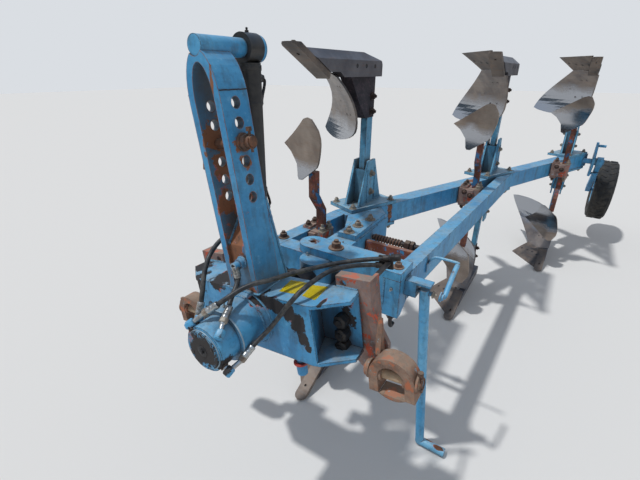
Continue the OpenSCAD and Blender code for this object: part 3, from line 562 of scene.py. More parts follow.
# Repeated things: each tree takes points or paths, and its sizes as named inputs
def new_tree(name, **sizes):
    tree = bpy.data.node_groups.new(name, "GeometryNodeTree")
    face = tree.interface
    face.new_socket("Geometry", in_out="INPUT", socket_type="NodeSocketGeometry")
    for label, value in sizes.items():
        face.new_socket(label.replace("_", " "), in_out="INPUT", socket_type="NodeSocketFloat").default_value = value
    face.new_socket("Finish", in_out="INPUT", socket_type="NodeSocketMaterial")
    face.new_socket("Geometry", in_out="OUTPUT", socket_type="NodeSocketGeometry")
    return tree, add(tree, "NodeGroupInput").outputs


def close_tree(tree, given, geometry):
    real = put(tree, "GeometryNodeRealizeInstances", {0: geometry})
    done = put(tree, "GeometryNodeSetMaterial", {"Geometry": real, "Material": given["Finish"]})
    add(tree, "NodeGroupOutput", {0: done})
    return tree


def named(tree, name, kind="FLOAT_VECTOR"):
    return put(tree, "GeometryNodeInputNamedAttribute", {"Name": name}, data_type=kind)


def thick(tree, line, radius):
    """A curve given a round section."""
    section = put(tree, "GeometryNodeCurvePrimitiveCircle", {"Resolution": 6, "Radius": radius}, mode="RADIUS")
    return put(tree, "GeometryNodeCurveToMesh", {"Curve": line, "Profile Curve": section, "Fill Caps": True})


def fastener_tree():
    """A hexagon nut or head of width 1 across flats over a washer, round the end of its bolt."""
    tree, given = new_tree("hex_fasteners", Head_height=0.62, Washer_width=1.75, Stud_length=0.35)
    head, stud = given["Head height"], given["Stud length"]
    washer = {"Vertices": 20, "Depth": 0.12, "Radius": times(tree, given["Washer width"], 0.5)}
    crown = {"Vertices": 20, "Radius Top": 0.36, "Radius Bottom": 0.49, "Depth": 0.08}
    join = add(tree, "GeometryNodeJoinGeometry")
    for kind, sizes, height in (
        ("Cylinder", washer, 0.06),
        ("Cylinder", {"Vertices": 6, "Radius": 0.577, "Depth": head}, fused(tree, head, 0.5, 0.12)),
        ("Cone", crown, calc(tree, "ADD", head, 0.12)),
        ("Cylinder", {"Vertices": 14, "Radius": 0.30, "Depth": stud}, fused(tree, stud, 0.5, 0.74)),
    ):
        shape = put(tree, "GeometryNodeMesh" + kind, sizes)
        raised = {"Geometry": shape, "Translation": put(tree, "ShaderNodeCombineXYZ", {2: height})}
        tree.links.new(put(tree, "GeometryNodeTransform", raised), join.inputs[0])
    spins = {"Min": (0, 0, 0), "Max": (0, 0, 6.28), "Seed": 7}
    spin = put(tree, "FunctionNodeRandomValue", spins, data_type="FLOAT_VECTOR")
    upright = put(tree, "FunctionNodeAlignRotationToVector", {"Vector": named(tree, "way")}, axis="Z")
    turn = put(tree, "FunctionNodeRotateRotation", {0: upright, 1: spin}, rotation_space="LOCAL")
    many = {"Points": given["Geometry"], "Instance": join.outputs[0], "Rotation": turn,
        "Scale": named(tree, "wide", "FLOAT")}
    return close_tree(tree, given, put(tree, "GeometryNodeInstanceOnPoints", many))


def bead_tree():
    """A weld bead along a path, uneven in width and height, with a ripple for each pass of the torch."""
    tree, given = new_tree("weld_beads", Bead_radius=0.0045, Ripple=0.004)
    line = put(tree, "GeometryNodeMeshToCurve", {0: given["Geometry"]})
    line = put(tree, "GeometryNodeResampleCurve", {"Curve": line, "Length": given["Ripple"]}, mode="LENGTH")
    rough = add(tree, "ShaderNodeTexNoise", {"Scale": 120.0, "Detail": 2.0}).outputs
    shift = put(tree, "ShaderNodeVectorMath", {0: rough[1], 1: (0.5, 0.5, 0.5)}, operation="SUBTRACT")
    shift = put(tree, "ShaderNodeVectorMath", {0: shift, 3: 0.004}, operation="SCALE")
    line = put(tree, "GeometryNodeSetPosition", {"Geometry": line, "Offset": shift})
    width = fused(tree, rough[0], 1.2, 0.4)
    line = put(tree, "GeometryNodeSetCurveRadius", {"Curve": line, "Radius": width})
    return close_tree(tree, given, thick(tree, line, given["Bead radius"]))


def thread_tree():
    """The rounded ridge of a coarse screw thread that runs along +Z from the origin."""
    tree, given = new_tree("screw_thread", Core_radius=0.015, Pitch=0.015, Length=0.15)
    rounds = calc(tree, "DIVIDE", given["Length"], given["Pitch"])
    helix = {"Resolution": 20, "Rotations": rounds, "Start Radius": given["Core radius"],
        "End Radius": given["Core radius"], "Height": given["Length"]}
    return close_tree(tree, given, thick(tree, put(tree, "GeometryNodeCurveSpiral", helix), 0.0046))


def lug_tree():
    """Blocks of tread that stand on their points, with their length along a second direction."""
    tree, given = new_tree("tyre_lugs", Width=0.020, Length=0.056, Height=0.016)
    size = put(tree, "ShaderNodeCombineXYZ", {0: given["Width"], 1: given["Length"], 2: given["Height"]})
    ways = {0: named(tree, "way"), 1: named(tree, "lie")}
    turn = put(tree, "FunctionNodeAxesToRotation", ways, primary_axis="Z", secondary_axis="Y")
    many = {"Points": given["Geometry"], "Instance": put(tree, "GeometryNodeMeshCube", {"Size": size}),
        "Rotation": turn}
    return close_tree(tree, given, put(tree, "GeometryNodeInstanceOnPoints", many))


def run_tree(name, tree, mesh, body, finish, place=Matrix.Identity(4), **sizes):
    """Runs a node tree on a mesh, and keeps the result as a plain mesh on one body."""
    carrier = linked(name + "_carrier", mesh)
    modifier = carrier.modifiers.new("tree", "NODES")
    modifier.node_group = tree
    names = {item.name: item.identifier for item in tree.interface.items_tree if item.in_out == "INPUT"}
    modifier[names["Finish"]] = FINISH[finish]
    for label, value in sizes.items():
        modifier[names[label.replace("_", " ")]] = value
    bpy.context.view_layer.update()
    done = bpy.data.meshes.new_from_object(carrier.evaluated_get(bpy.context.evaluated_depsgraph_get()))
    bpy.data.objects.remove(carrier)
    done.name = name
    done.transform(place)
    if not done.polygons:
        raise RuntimeError(name + " came out empty")
    return settled(name, done, finish, body)


def point_mesh(name, points, **ways):
    """Points with a value or a direction on each."""
    mesh = bpy.data.meshes.new(name + "_points")
    mesh.from_pydata(points, [], [])
    for label, values in ways.items():
        if isinstance(values[0], float):
            mesh.attributes.new(label, "FLOAT", "POINT").data.foreach_set("value", values)
        else:
            flat = [c for v in values for c in Vector(v).normalized()]
            mesh.attributes.new(label, "FLOAT_VECTOR", "POINT").data.foreach_set("vector", flat)
    return mesh


def fasteners(name, tree, finish, places, body="frame", **sizes):
    """places holds (point, way, width across flats)."""
    points, ways, widths = zip(*places)
    mesh = point_mesh(name, points, way=ways, wide=[width / 1000 for width in widths])
    return run_tree(name, tree, mesh, body, finish, **sizes)


def beads(name, tree, finish, paths, radius, body="frame"):
    """Weld beads along lists of points."""
    verts, edges = [], []
    for path in paths:
        edges += [(len(verts) + k, len(verts) + k + 1) for k in range(len(path) - 1)]
        verts += path
    mesh = bpy.data.meshes.new(name + "_paths")
    mesh.from_pydata(verts, edges, [])
    return run_tree(name, tree, mesh, body, finish, Bead_radius=radius / 1000)


def board_point(body, s, z, d=0.0):
    """A point on a body's surface: s out from the shin at height z, d behind the working face. The curves of the
    shin and of the face are the same as in the part's source."""
    shin = -490 * (1 - max(0.0, 1 - z / 400) ** 2.3)
    turn = math.radians(41 + 8 * (z / 450) ** 2)
    spot = TIP + PITCH * body
    x = spot.x + shin - s * math.cos(turn) - d * math.sin(turn)
    return at(x, spot.y - s * math.sin(turn) + d * math.cos(turn), z)


def board_normal(body, s, z):
    """The way that the working face looks there."""
    along = board_point(body, s + 5, z) - board_point(body, s - 5, z)
    rise = board_point(body, s, z + 5) - board_point(body, s, z - 5)
    normal = along.cross(rise).normalized()
    back = board_point(body, s, z, 10) - board_point(body, s, z)
    return -normal if normal.dot(back) > 0 else normal


# name, the fitting's foot and bend, and the same route as in the part's source, all on the headstock
HOSES = [
    ("hose_over_beam", (250, -40, 58), (250, -48, 74), [(208, 2, 112), (186, 30, 131), (160, 52, 146),
        (124, 70, 157), (88, 95, 163), (50, 120, 160), (-35, 146, 150), (-153, 214, 140), (-220, 294, 140),
        (-269, 384, 140)]),
    ("hose_beside_beam", (243, 58, -50), (243, 76, -64), [(178, 87, -46), (140, 100, -22), (100, 125, 8),
        (82, 170, 62), (70, 208, 109), (20, 235, 142), (-98, 250, 146), (-190, 292, 132), (-262, 358, 114)]),
    ("hose_to_guide", (236, 52, 46), (236, 66, 60), [(191, 50, 92), (170, 44, 104), (145, 32, 121),
        (110, 22, 142), (90, 18, 160), (87, 17, 171), (87, 17, 177.2)]),
    ("hose_up_tower", (205, -56, 44), (205, -70, 58), [(193, -77, 77), (178, -76, 106), (160, -76, 148),
        (128, -90, 192), (90, -98, 231), (30, -112, 256), (-10, -98, 270), (-29, -84, 280), (-30, -80, 292),
        (-30, -80, 299.2)]),
]
HOSE_RADIUS = 0.008  # in metres, as a cord's sizes are
GROOVES = [(-34, 11.2), (-30, 12), (-21, 12), (-20, 11.5), (-16, 11.5), (-15, 12), (-10, 12), (-9, 11.5),
    (-5, 11.5), (-4, 12), (6, 12)]


class PLOUGH_OT_stage(bpy.types.Operator):
    """Camera, floor and lights"""

    bl_idname = "plough.stage"
    bl_label = "Stage"

    def execute(self, context):
        look = context.scene.plough_stage
        scene = context.scene
        scene.view_settings.view_transform = "Standard"
        camera = bpy.data.cameras.new("camera")
        camera.sensor_width = 36
        camera.lens = look.lens
        camera.clip_end = 100
        eye = linked("camera", camera)
        eye.location = at(784, 780, 1650)
        ahead = math.radians(look.turn)
        down = math.radians(look.tilt)
        gaze = Vector((-math.cos(ahead) * math.cos(down), -math.sin(ahead) * math.cos(down), -math.sin(down)))
        eye.rotation_euler = gaze.to_track_quat("-Z", "Y").to_euler()
        scene.camera = eye
        bm = bmesh.new()
        bmesh.ops.create_grid(bm, x_segments=1, y_segments=1, size=40)
        floor = linked("floor", to_mesh("floor", bm))
        material, tree = new_material("floor")
        shade = put(tree, "ShaderNodeBsdfDiffuse", {"Color": linear(look.floor)})
        add(tree, "ShaderNodeOutputMaterial", {"Surface": shade})
        floor.data.materials.append(material)
        # a pale backdrop for the camera, for gloss and glass, and a softer light on the object
        world = bpy.data.worlds.new("studio")
        scene.world = world
        world.use_nodes = True
        tree = world.node_tree
        tree.nodes.clear()
        path = add(tree, "ShaderNodeLightPath").outputs
        glossy = path["Is Glossy Ray"]
        seen = calc(tree, "MAXIMUM", path["Is Camera Ray"], glossy)
        seen = calc(tree, "MAXIMUM", seen, path["Is Transmission Ray"])
        lit = put(tree, "ShaderNodeBackground", {"Color": linear("#EDF3FF"), "Strength": look.sky})
        # polished steel mirrors a darker strip along the horizon, and a blue sky above it
        rise = part(tree, add(tree, "ShaderNodeTexCoord").outputs["Generated"], 2)
        strip = times(tree, calc(tree, "COMPARE", rise, 0.06, 0.09), glossy)
        pale = laid(tree, "#DADEE3", "#9DBBE0", times(tree, rise, glossy), 0.1, 0.8)
        back = put(tree, "ShaderNodeBackground", {"Color": mixed(tree, strip, pale, "#5B6670"), "Strength": 1.0})
        both = put(tree, "ShaderNodeMixShader", {0: seen, 1: lit, 2: back})
        add(tree, "ShaderNodeOutputWorld", {"Surface": both})
        sun = bpy.data.lights.new("sun", "SUN")
        sun.energy = look.sun
        sun.angle = math.radians(2.5)
        lamp = linked("sun", sun)
        lamp.rotation_euler = Vector((-0.26, 0.30, -0.92)).to_track_quat("-Z", "Y").to_euler()
        return {"FINISHED"}


class PLOUGH_OT_finishes(bpy.types.Operator):
    """Paint, rust, scoured steel and rubber, and which CAD node wears which"""

    bl_idname = "plough.finishes"
    bl_label = "Finishes"

    def execute(self, context):
        make_finishes()
        dress_nodes()
        return {"FINISHED"}


class PLOUGH_OT_hoses(bpy.types.Operator):
    """Hydraulic hoses from the swivel, with their crimped ferrules, nuts and caps"""

    bl_idname = "plough.hoses"
    bl_label = "Hoses"

    def execute(self, context):
        ferrules, nuts, heads, seats, tubes, couplings = [], [], [], [], [], []
        for index, (name, foot, bend, route) in enumerate(HOSES):
            path = spline([on_headstock(*p) for p in route])
            bm = bmesh.new()
            sweep(bm, path, HOSE_RADIUS * 1000, 14)
            tube = piece(name, bm, "hose", edge=0)
            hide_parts("hose_lines")
            tubes.append((tube, path))
            start, end = path[0], path[-1]
            way, out = (start - path[1]).normalized(), (end - path[-2]).normalized()
            foot, bend = on_headstock(*foot), on_headstock(*bend)
            ferrules.append((start, way, [(-34, 8.2), *GROOVES, (8, 10), (8, 0)]))
            nuts.append((start + way * 0.007, way, bolt(14, 15), 6))
            head = solid((0, 12.5), (3, 15.5), (26, 15.5), (30, 12))
            heads.append((bend - way * 0.015, way, head, 6))
            seats.append((foot, bend - foot, ring(6, 13.5, 0, 6)))
            if index > 1:
                ferrules.append((end, -out, [(2, 0), (2, 10), *GROOVES]))
            else:
                ends = [(-12, 0), (-12, 9.5), (-2, 9.5), (0, 12), (12, 12), (13, 11.5), (24, 11.5), (26, 8.2)]
                tip = solid((0, 12.5), (16, 12.5), (19, 10))
                cap = [(end, -out, ends), (end + out * 0.004, out, bolt(14, 14), 6), (end + out * 0.017, out, tip)]
                couplings.append(turned(name.replace("hose", "coupling"), "grimy", cap))
        turned("hose_ferrules", "zinc", ferrules)
        turned("hose_nuts", "pale_bolt", nuts)
        turned("hose_heads", "blue_swivel", heads, edge=1.5)
        turned("hose_seats", "dark_bolt", seats)
        # a flat bracket behind the link plate carries the two couplings
        bm = bmesh.new()
        corners = [on_headstock(*p) for p in ((-112, 388, 128), (-250, 385, 128), (-262, 377, 128))]
        for a, b in zip(corners, corners[1:]):
            turn = (b - a).to_track_quat("X", "Z").to_matrix().to_4x4()
            slab(bm, (a + b) / 2, ((b - a).length * 500, 9, 2.5), turn)
        slab(bm, on_headstock(-262, 372, 126), (3, 26, 24), ROLL)
        piece("coupling_bracket", bm, "grimy")
        return {"FINISHED"}


def linchpin(bm, spot, way):
    """A pin through the end of a bigger one, with the spring ring that keeps it there."""
    sweep(bm, [spot - TOP * 0.030, spot + TOP * 0.034], 4.2)
    lathe(bm, spot + TOP * 0.030, TOP, solid((0, 8.5), (12, 8.5)), 16)
    square = (TOP + way * 0.25).cross(way).cross(TOP) + way * 0.4
    sweep(bm, ring_path(spot + way * 0.004, square, 19, 28)[:-2], 2.2, 8)


def blank_label(bm, corners, across=14, down=12):
    """One half of a worn label on the beam's top, with torn edges and blisters."""
    a, b, c, d = (Vector(p) for p in corners)
    grid = []
    for i in range(across + 1):
        row = []
        for j in range(down + 1):
            u, v = i / across, j / down
            spot = (a * (1 - v) + b * v) * (1 - u) + (d * (1 - v) + c * v) * u
            if i in (0, across) or j in (0, down):
                shift = noise.noise_vector(Vector((spot.x, spot.y, 5.0)) * 0.11)
                spot = spot + Vector((shift.x, shift.y)) * 3.2
            lift = 0.45 + 0.5 * max(0.0, noise.noise(Vector((spot.x, spot.y, 0)) * 0.05))
            row.append(bm.verts.new(on_headstock(spot.x, spot.y, 100 + lift)))
        grid.append(row)
    for i in range(across):
        for j in range(down):
            bm.faces.new((grid[i][j], grid[i + 1][j], grid[i + 1][j + 1], grid[i][j + 1]))


class PLOUGH_OT_headstock(bpy.types.Operator):
    """Rings, pins, label and stubs on the swivel, the cross beam, the tower and the hitch"""

    bl_idname = "plough.headstock"
    bl_label = "Headstock details"

    def execute(self, context):
        port = on_headstock(97, 17, 210)  # the hose guide's front
        turned("rubbed_rings", "pale", [(AXLE, FRONT, ring(66, 69.5, 255.2, 258.5), 64),
            (AXLE, FRONT, ring(89.9, 90.8, 174.5, 180), 64), (port, FRONT, ring(8.2, 12.2, -2, 0.6), 32)], edge=0.3)
        # a dark iron disc in the hose guide's port is painted shade of its open bore; then the swivel's centre cap,
        # nut and screws
        dark = [(port, FRONT, solid((-1, 8.2), (0.2, 8.2)), 32),
            (on_headstock(SWIVEL_FACE, 0, 0), FRONT, solid((0, 21), (1.5, 20)), 32),
            (on_headstock(SWIVEL_FACE + 1.5, 0, 0), FRONT, bolt(9.5, 5.5), 6)]
        for turn in (math.radians(20 + 90 * k) for k in range(4)):
            spot = on_headstock(SWIVEL_FACE, 52 * math.cos(turn), 52 * math.sin(turn))
            dark.append((spot, FRONT, solid((0, 5.5), (1.8, 4.8)), 16))
        turned("swivel_screws", "iron", dark, edge=0.3)
        nipples = [(on_headstock(*spot), TOP, NIPPLE, 12) for spot in ((150, 0, 90), (30, 30, 90))]
        turned("headstock_nipples", "zinc", nipples, edge=0)
        noise.seed_set(5)  # or else the torn edges would differ from run to run
        bm = bmesh.new()
        blank_label(bm, ((11, 113), (-68, 101), (-73, 175), (7, 177)))
        blank_label(bm, ((8, 205), (-66, 194), (-74, 252), (13, 260)))
        bmesh.ops.solidify(bm, geom=bm.faces[:], thickness=-0.0003)
        piece("blank_label", bm, "film", edge=0)
        # the capped stub below the beam
        spot = on_headstock(30, 178, -121)
        turned("stub", "blue", [(spot, -TOP, solid((0, 16), (24, 13), (30, 19), (72, 18), (75, 12)))])
        turned("stub_rim", "red", [(spot, -TOP, ring(16, 26, 22, 29))], edge=1.5)
        # hitch pins: washers, collars and linchpins
        washers, pins = [], bmesh.new()
        x, span, z = HITCH
        for side in (-1, 1):
            for offset, half, outer in ((-80, 4, 31), (79, 3.5, 31), (-39, 4.5, 28), (39, 4.5, 28)):
                spot = on_headstock(x, side * (span + offset), z)
                washers.append((spot, SIDE, ring(18.6, outer, -half, half), 32))
            spot = on_headstock(x, side * (span - 83.5), z)
            washers.append((spot, -SIDE * side, solid((0, 26), (9, 26), (13, 20)), 32))
            linchpin(pins, on_headstock(x, side * (span + 84.5), z), SIDE * side)
        turned("hitch_washers", "rust_arch", washers)
        # the top link pin, with washers, a head and its own linchpin
        bm = bmesh.new()
        x, z = TOP_PIN
        for u in (-69, 69):
            lathe(bm, on_headstock(x, u, z), SIDE, ring(16, 27, -3.4, 3.4), 32)
        lathe(bm, on_headstock(x, -87, z), -SIDE, solid((0, 21), (8, 21), (12, 16)), 32)
        handle = ((4, -92, 580), (4, -106, 576), (4, -116, 560), (6, -122, 530), (8, -128, 502))
        sweep(bm, spline([on_headstock(*p) for p in handle]), 6.5)
        lathe(bm, on_headstock(x, 73, z), SIDE, ring(16, 24.5, 0, 14), 6)
        piece("top_pin_washers", bm, "brown_bolt")
        linchpin(pins, on_headstock(x, 98, z), SIDE)
        piece("linchpins", pins, "brown_bolt", edge=0)
        # the collar and the nut at the back end of the top bar
        turned("top_bar_nut", "dark_bolt", [(on_headstock(-196, 0, TOP_BAR), -FRONT, solid((0, 30), (4, 30)), 32),
            (on_headstock(-200, 0, TOP_BAR), -FRONT, bolt(17, 12), 6)])
        return {"FINISHED"}


class PLOUGH_OT_cylinder(bpy.types.Operator):
    """Gland, ports, oil pipe and nipples of the turnover cylinder"""

    bl_idname = "plough.cylinder"
    bl_label = "Turnover cylinder"

    def execute(self, context):
        top = Vector(JOINTS["cylinder_swing"]["pos_m"])
        down = Vector(JOINTS["cylinder_stroke"]["axis"]).normalized()
        top.x = on_headstock(-150, 0, 0).x

        def spot(along, out):
            return top + (down * along - FORWARD * out) / 1000

        ports = (85, 535)
        rings = [(top, down, ring(37.8, 40.5, 556, 588), 48), (top, down, ring(37.8, 40, 46, 62), 48)]
        bosses = [(spot(along, 36), -FORWARD, solid((0, 15), (14, 15))) for along in ports]
        turned("cylinder_gland", "black", rings + bosses, "cylinder_barrel", edge=1.5)
        bm = bmesh.new()
        for along in ports:
            lathe(bm, spot(along, 50), -FORWARD, bolt(12.5, 12), 6)
        path = ((85, 60), (90, 68), (105, 70), (200, 44.5), (420, 44.5), (515, 70), (530, 68), (535, 60))
        sweep(bm, spline([spot(*p) for p in path]), 5)
        lathe(bm, spot(-43, 0), -down, [(0, 0), (0, 6), (6, 6), (7, 3), (13, 4), (15, 0)], 12)
        piece("cylinder_pipe", bm, "iron", "cylinder_barrel", edge=0)
        for along in (160, 460):
            bm = bmesh.new()
            lathe(bm, top, down, ring(37.8, 39.4, along - 6, along + 6), 48)
            slab(bm, spot(along, 43), (6, 11, 6))
            piece("pipe_clip_%d" % (along / 10), bm, "black", "cylinder_barrel")
        return {"FINISHED"}


class PLOUGH_OT_frame(bpy.types.Operator):
    """Clamp jaws, spindle thread, stand latch and small fittings of the frame"""

    bl_idname = "plough.frame"
    bl_label = "Frame details"

    def execute(self, context):
        jaws, rods = bmesh.new(), bmesh.new()
        for i in BODIES:
            x, y = CLAMP + PITCH * i
            for z in (943, 817):
                slab(jaws, at(x - 4, y - 62, z), (46, 24, 8))
            slab(jaws, at(x + 58, y - 30, 905), (8.5, 34, 26))
            for dx in (-32, 24):
                sweep(rods, [at(x + dx, y - 62, 800), at(x + dx, y - 62, 972)], 9, 12)
        piece("clamp_jaws", jaws, "rust_primer", "frame", edge=3)
        piece("clamp_rods", rods, "dark_bolt", "frame", edge=0)
        # the coarse thread of the width spindle runs from the axle's head towards the side beam
        x, z = SPINDLE
        place = Matrix.Translation(at(x, 78, z)) @ Matrix.Rotation(math.radians(-90), 4, "X")
        run_tree("spindle_thread", thread_tree(), point_mesh("spindle_thread", [(0, 0, 0)]), "frame", "brown_bolt",
            place)
        turned("spindle_nuts", "dark_bolt", [(at(x, y, z), LEFT, ring(14.2, 25.5, 0, width)[:4], 6)
            for y, width in ((240, 24), (268, 16))], "frame", edge=1)
        # the arm that holds the folded stand, and the stand's pin
        bm = bmesh.new()
        rest = ((386, 884), (396, 908), (412, 928), (436, 933), (504, 933), (516, 928))
        sweep(bm, spline([at(-640, *p) for p in rest]), 6)
        slab(bm, at(-640, 389.5, 880), (22, 4, 20))
        piece("stand_rest", bm, "blue_stand", "frame", edge=1)
        bm = bmesh.new()
        x, z = STAND_PIVOT
        lathe(bm, at(x, 483, z), LEFT, solid((0, 15), (5, 15), (8, 11)))
        sweep(bm, [at(x, 486, z), at(x, 500, z)], 5.5)
        piece("stand_pin", bm, "pale_bolt", "frame", edge=0)
        # the bent lever on the stand's pivot
        bm = bmesh.new()
        lathe(bm, at(x, 509.6, z), LEFT, solid((0, 19), (7, 19), (8, 13), (16, 12)))
        lever = ((-420, 518, 888), (-424, 524, 890), (-432, 526, 896), (-452, 526, 909), (-505, 526, 938),
            (-540, 526, 956), (-562, 526, 960))
        sweep(bm, spline([at(*p) for p in lever]), 9.5, 12)
        piece("stand_lever", bm, "blue_stand", "stand", edge=0)
        # the hooked bolt below the front of the side beam
        bm = bmesh.new()
        bend = ((-367, 776), (-367, 745), (-370, 722), (-384, 708), (-402, 712))
        sweep(bm, spline([at(x, 345, z) for x, z in bend]), 8)
        lathe(bm, at(-367, 345, 774), -UP, bolt(17, 14), 6)
        piece("hook", bm, "iron", "frame", edge=0)
        nipples = ((-340, -40, FRAME_TOP, UP), (-520, 30, FRAME_TOP, UP), (-350, 345, 900, FORWARD))
        turned("frame_nipples", "zinc", [(at(x, y, z), way, NIPPLE, 12) for x, y, z, way in nipples], "frame",
            edge=0)
        return {"FINISHED"}


class PLOUGH_OT_fasteners(bpy.types.Operator):
    """Hexagon bolts and nuts of the frame, the legs, the bodies and the headstock, and the boards' plug bolts"""

    bl_idname = "plough.fasteners"
    bl_label = "Fasteners"

    def execute(self, context):
        tree = fastener_tree()
        wide = context.scene.plough_sizes.bolt_width
        base, legs, dark, nuts = [], [], [], []

        def both(bolts, spot, way, width):
            """A bolt on a lower body, and its mirror image on the upper one."""
            bolts += [(spot, way, width), (mirror_z(spot), upside(way), width)]

        turn = math.pi - BEAM_ANGLE
        for i in BODIES:
            spot = LEG + PITCH * i
            for dx in (-144, 144):
                for dy in (-86, 66):
                    x = spot.x + dx * math.cos(turn) - dy * math.sin(turn)
                    y = spot.y + dx * math.sin(turn) + dy * math.cos(turn)
                    both(base, at(x, y, BASE_TOP), UP, wide)
            for side in (-1, 1):
                for dz in (62, 168):
                    both(legs, at(spot.x, spot.y + side * 46, BASE_TOP + dz), LEFT * side, wide)
            # the leg's two bolts through the frog
            for z in (225, 300):
                for dy, side in ((-39.5, -1), (23, 1)):
                    both(dark, at(spot.x, spot.y + dy, z), LEFT * side, 25)
            # clamp bolts
            x, y = CLAMP + PITCH * i
            for dx in (-32, 24):
                dark += [(at(x + dx, y - 62, 951), UP, 23), (at(x + dx, y - 62, 809), -UP, 23)]
            for dx in (-32, 26):
                nuts += [(at(x + dx, y + 24, 936), UP, 27), (at(x + dx, y + 24, 824), -UP, 27)]
            for dy, z in ((-50, 915), (-12, 895)):
                dark.append((at(x + 66.5, y + dy, z), FORWARD, 20))
        dark.append((at(-432, -244, FRAME_TOP), UP, 30))  # on the right front arm
        ties = [(at(x, y, FRAME_TOP + 26), UP, 27) for x, y in ((-605, 12), (-695, 10), (-805, 22))]
        arm = [(at(x, y, FRAME_TOP + dz), way, width) for x, y, dz, way, width in ((-411, 60, 34, UP, 35),
            (-400, 345, 34, UP, 24), (-411, 60, -150, -UP, 40), (-411, -60, -150, -UP, 40))]
        fasteners("base_bolts", tree, "pale_bolt", base)
        fasteners("leg_bolts", tree, "pale_bolt", legs, Stud_length=0.25)
        fasteners("dark_bolts", tree, "dark_bolt", dark)
        fasteners("clamp_nuts", tree, "pale_bolt", nuts, Stud_length=0.6)
        fasteners("tie_nuts", tree, "pale_bolt", ties, Washer_width=2.0)
        fasteners("arm_bolts", tree, "brown_bolt", arm, Washer_width=1.9)
        inside = []
        for side in (-1, 1):
            for u, w in ((296.5, -10), (295, -61), (292.5, -108)):
                inside.append((on_headstock(-80, side * u, w), FRONT, 43))
                inside.append((on_headstock(-110, side * u, w), -FRONT, 36))
        fasteners("hitch_bolts", tree, "grimy", inside, "headstock", Stud_length=0.20, Washer_width=1.12)
        hub = [(wheel_point(75, 60 * k, 8), LEFT, 22) for k in range(6)]
        fasteners("wheel_nuts", tree, "pale_bolt", hub, "wheel")
        # countersunk plug bolts, worn nearly flush, and the nuts behind them
        plugs, backs, lands = [], [], []
        flush = solid((-0.8, 9.8), (0.5, 9.8), (0.9, 8.5), (0.3, 7.5))
        spots = ((95, 175), (150, 175), (95, 300), (165, 310), (245, 250), (120, 60), (185, 60), (250, 55), (330, 45))
        for i in BODIES:
            for s, z in spots:
                way = board_normal(i, s, z)
                both(plugs, board_point(i, s, z), way, flush)
                if s >= 170:
                    both(backs, board_point(i, s, z, 12 if z < 98 else 10), -way, 17)
            for x in (-470, -560, -650):
                both(lands, at(TIP.x + PITCH.x * i + x, TIP.y + PITCH.y * i, 84), LEFT, flush)
        turned("plug_bolts", "iron", [(*shape, 16) for shape in plugs], "frame", edge=0)
        turned("landside_bolts", "iron", [(*shape, 16) for shape in lands], "frame", edge=0)
        fasteners("board_nuts", tree, "dark_bolt", backs, Washer_width=1.4)
        return {"FINISHED"}


def wheel_point(radius, turn, across):
    """A point of the depth wheel: from its axle, degrees round it, and left of its middle."""
    t = math.radians(turn)
    return WHEEL + Vector((radius * math.cos(t), across, radius * math.sin(t))) / 1000


class PLOUGH_OT_wheel(bpy.types.Operator):
    """Tread, hub caps and valve of the depth wheel"""

    bl_idname = "plough.wheel"
    bl_label = "Depth wheel"

    def execute(self, context):
        points, ways, lies = [], [], []
        count = 26
        for k in range(count):
            for side in (-1, 1):
                turn = 360 * (k + (0.5 if side > 0 else 0)) / count
                points.append(wheel_point(296.5, turn, side * 34))
                way = wheel_point(1000, turn, 0) - WHEEL
                ways.append(way)
                lies.append(LEFT + way.cross(LEFT) * 0.55 * side)
        run_tree("tyre_lugs", lug_tree(), point_mesh("tyre_lugs", points, way=ways, lie=lies), "wheel", "tyre")
        turned("axle_cap", "brown_bolt", [(WHEEL, LEFT, [(60, 0), (60, 26), (66, 26), (70, 20), (70, 0)], 32),
            (WHEEL, LEFT, ring(20.5, 34, 50.2, 54), 32)], "wheel_arm")
        bm = bmesh.new()
        stem = wheel_point(176, 40, 34)
        sweep(bm, [wheel_point(186, 40, 12), stem], 4.5)
        lathe(bm, stem, LEFT, solid((0, 6), (11, 5)), 12)
        piece("valve", bm, "iron", "wheel", edge=0)
        lips = [(WHEEL, LEFT, ring(186, 193.5, *ends), 64) for ends in ((62, 70.5), (-70.5, -62))]
        turned("rim_lips", "blue_stand", lips, "wheel", edge=1)
        return {"FINISHED"}


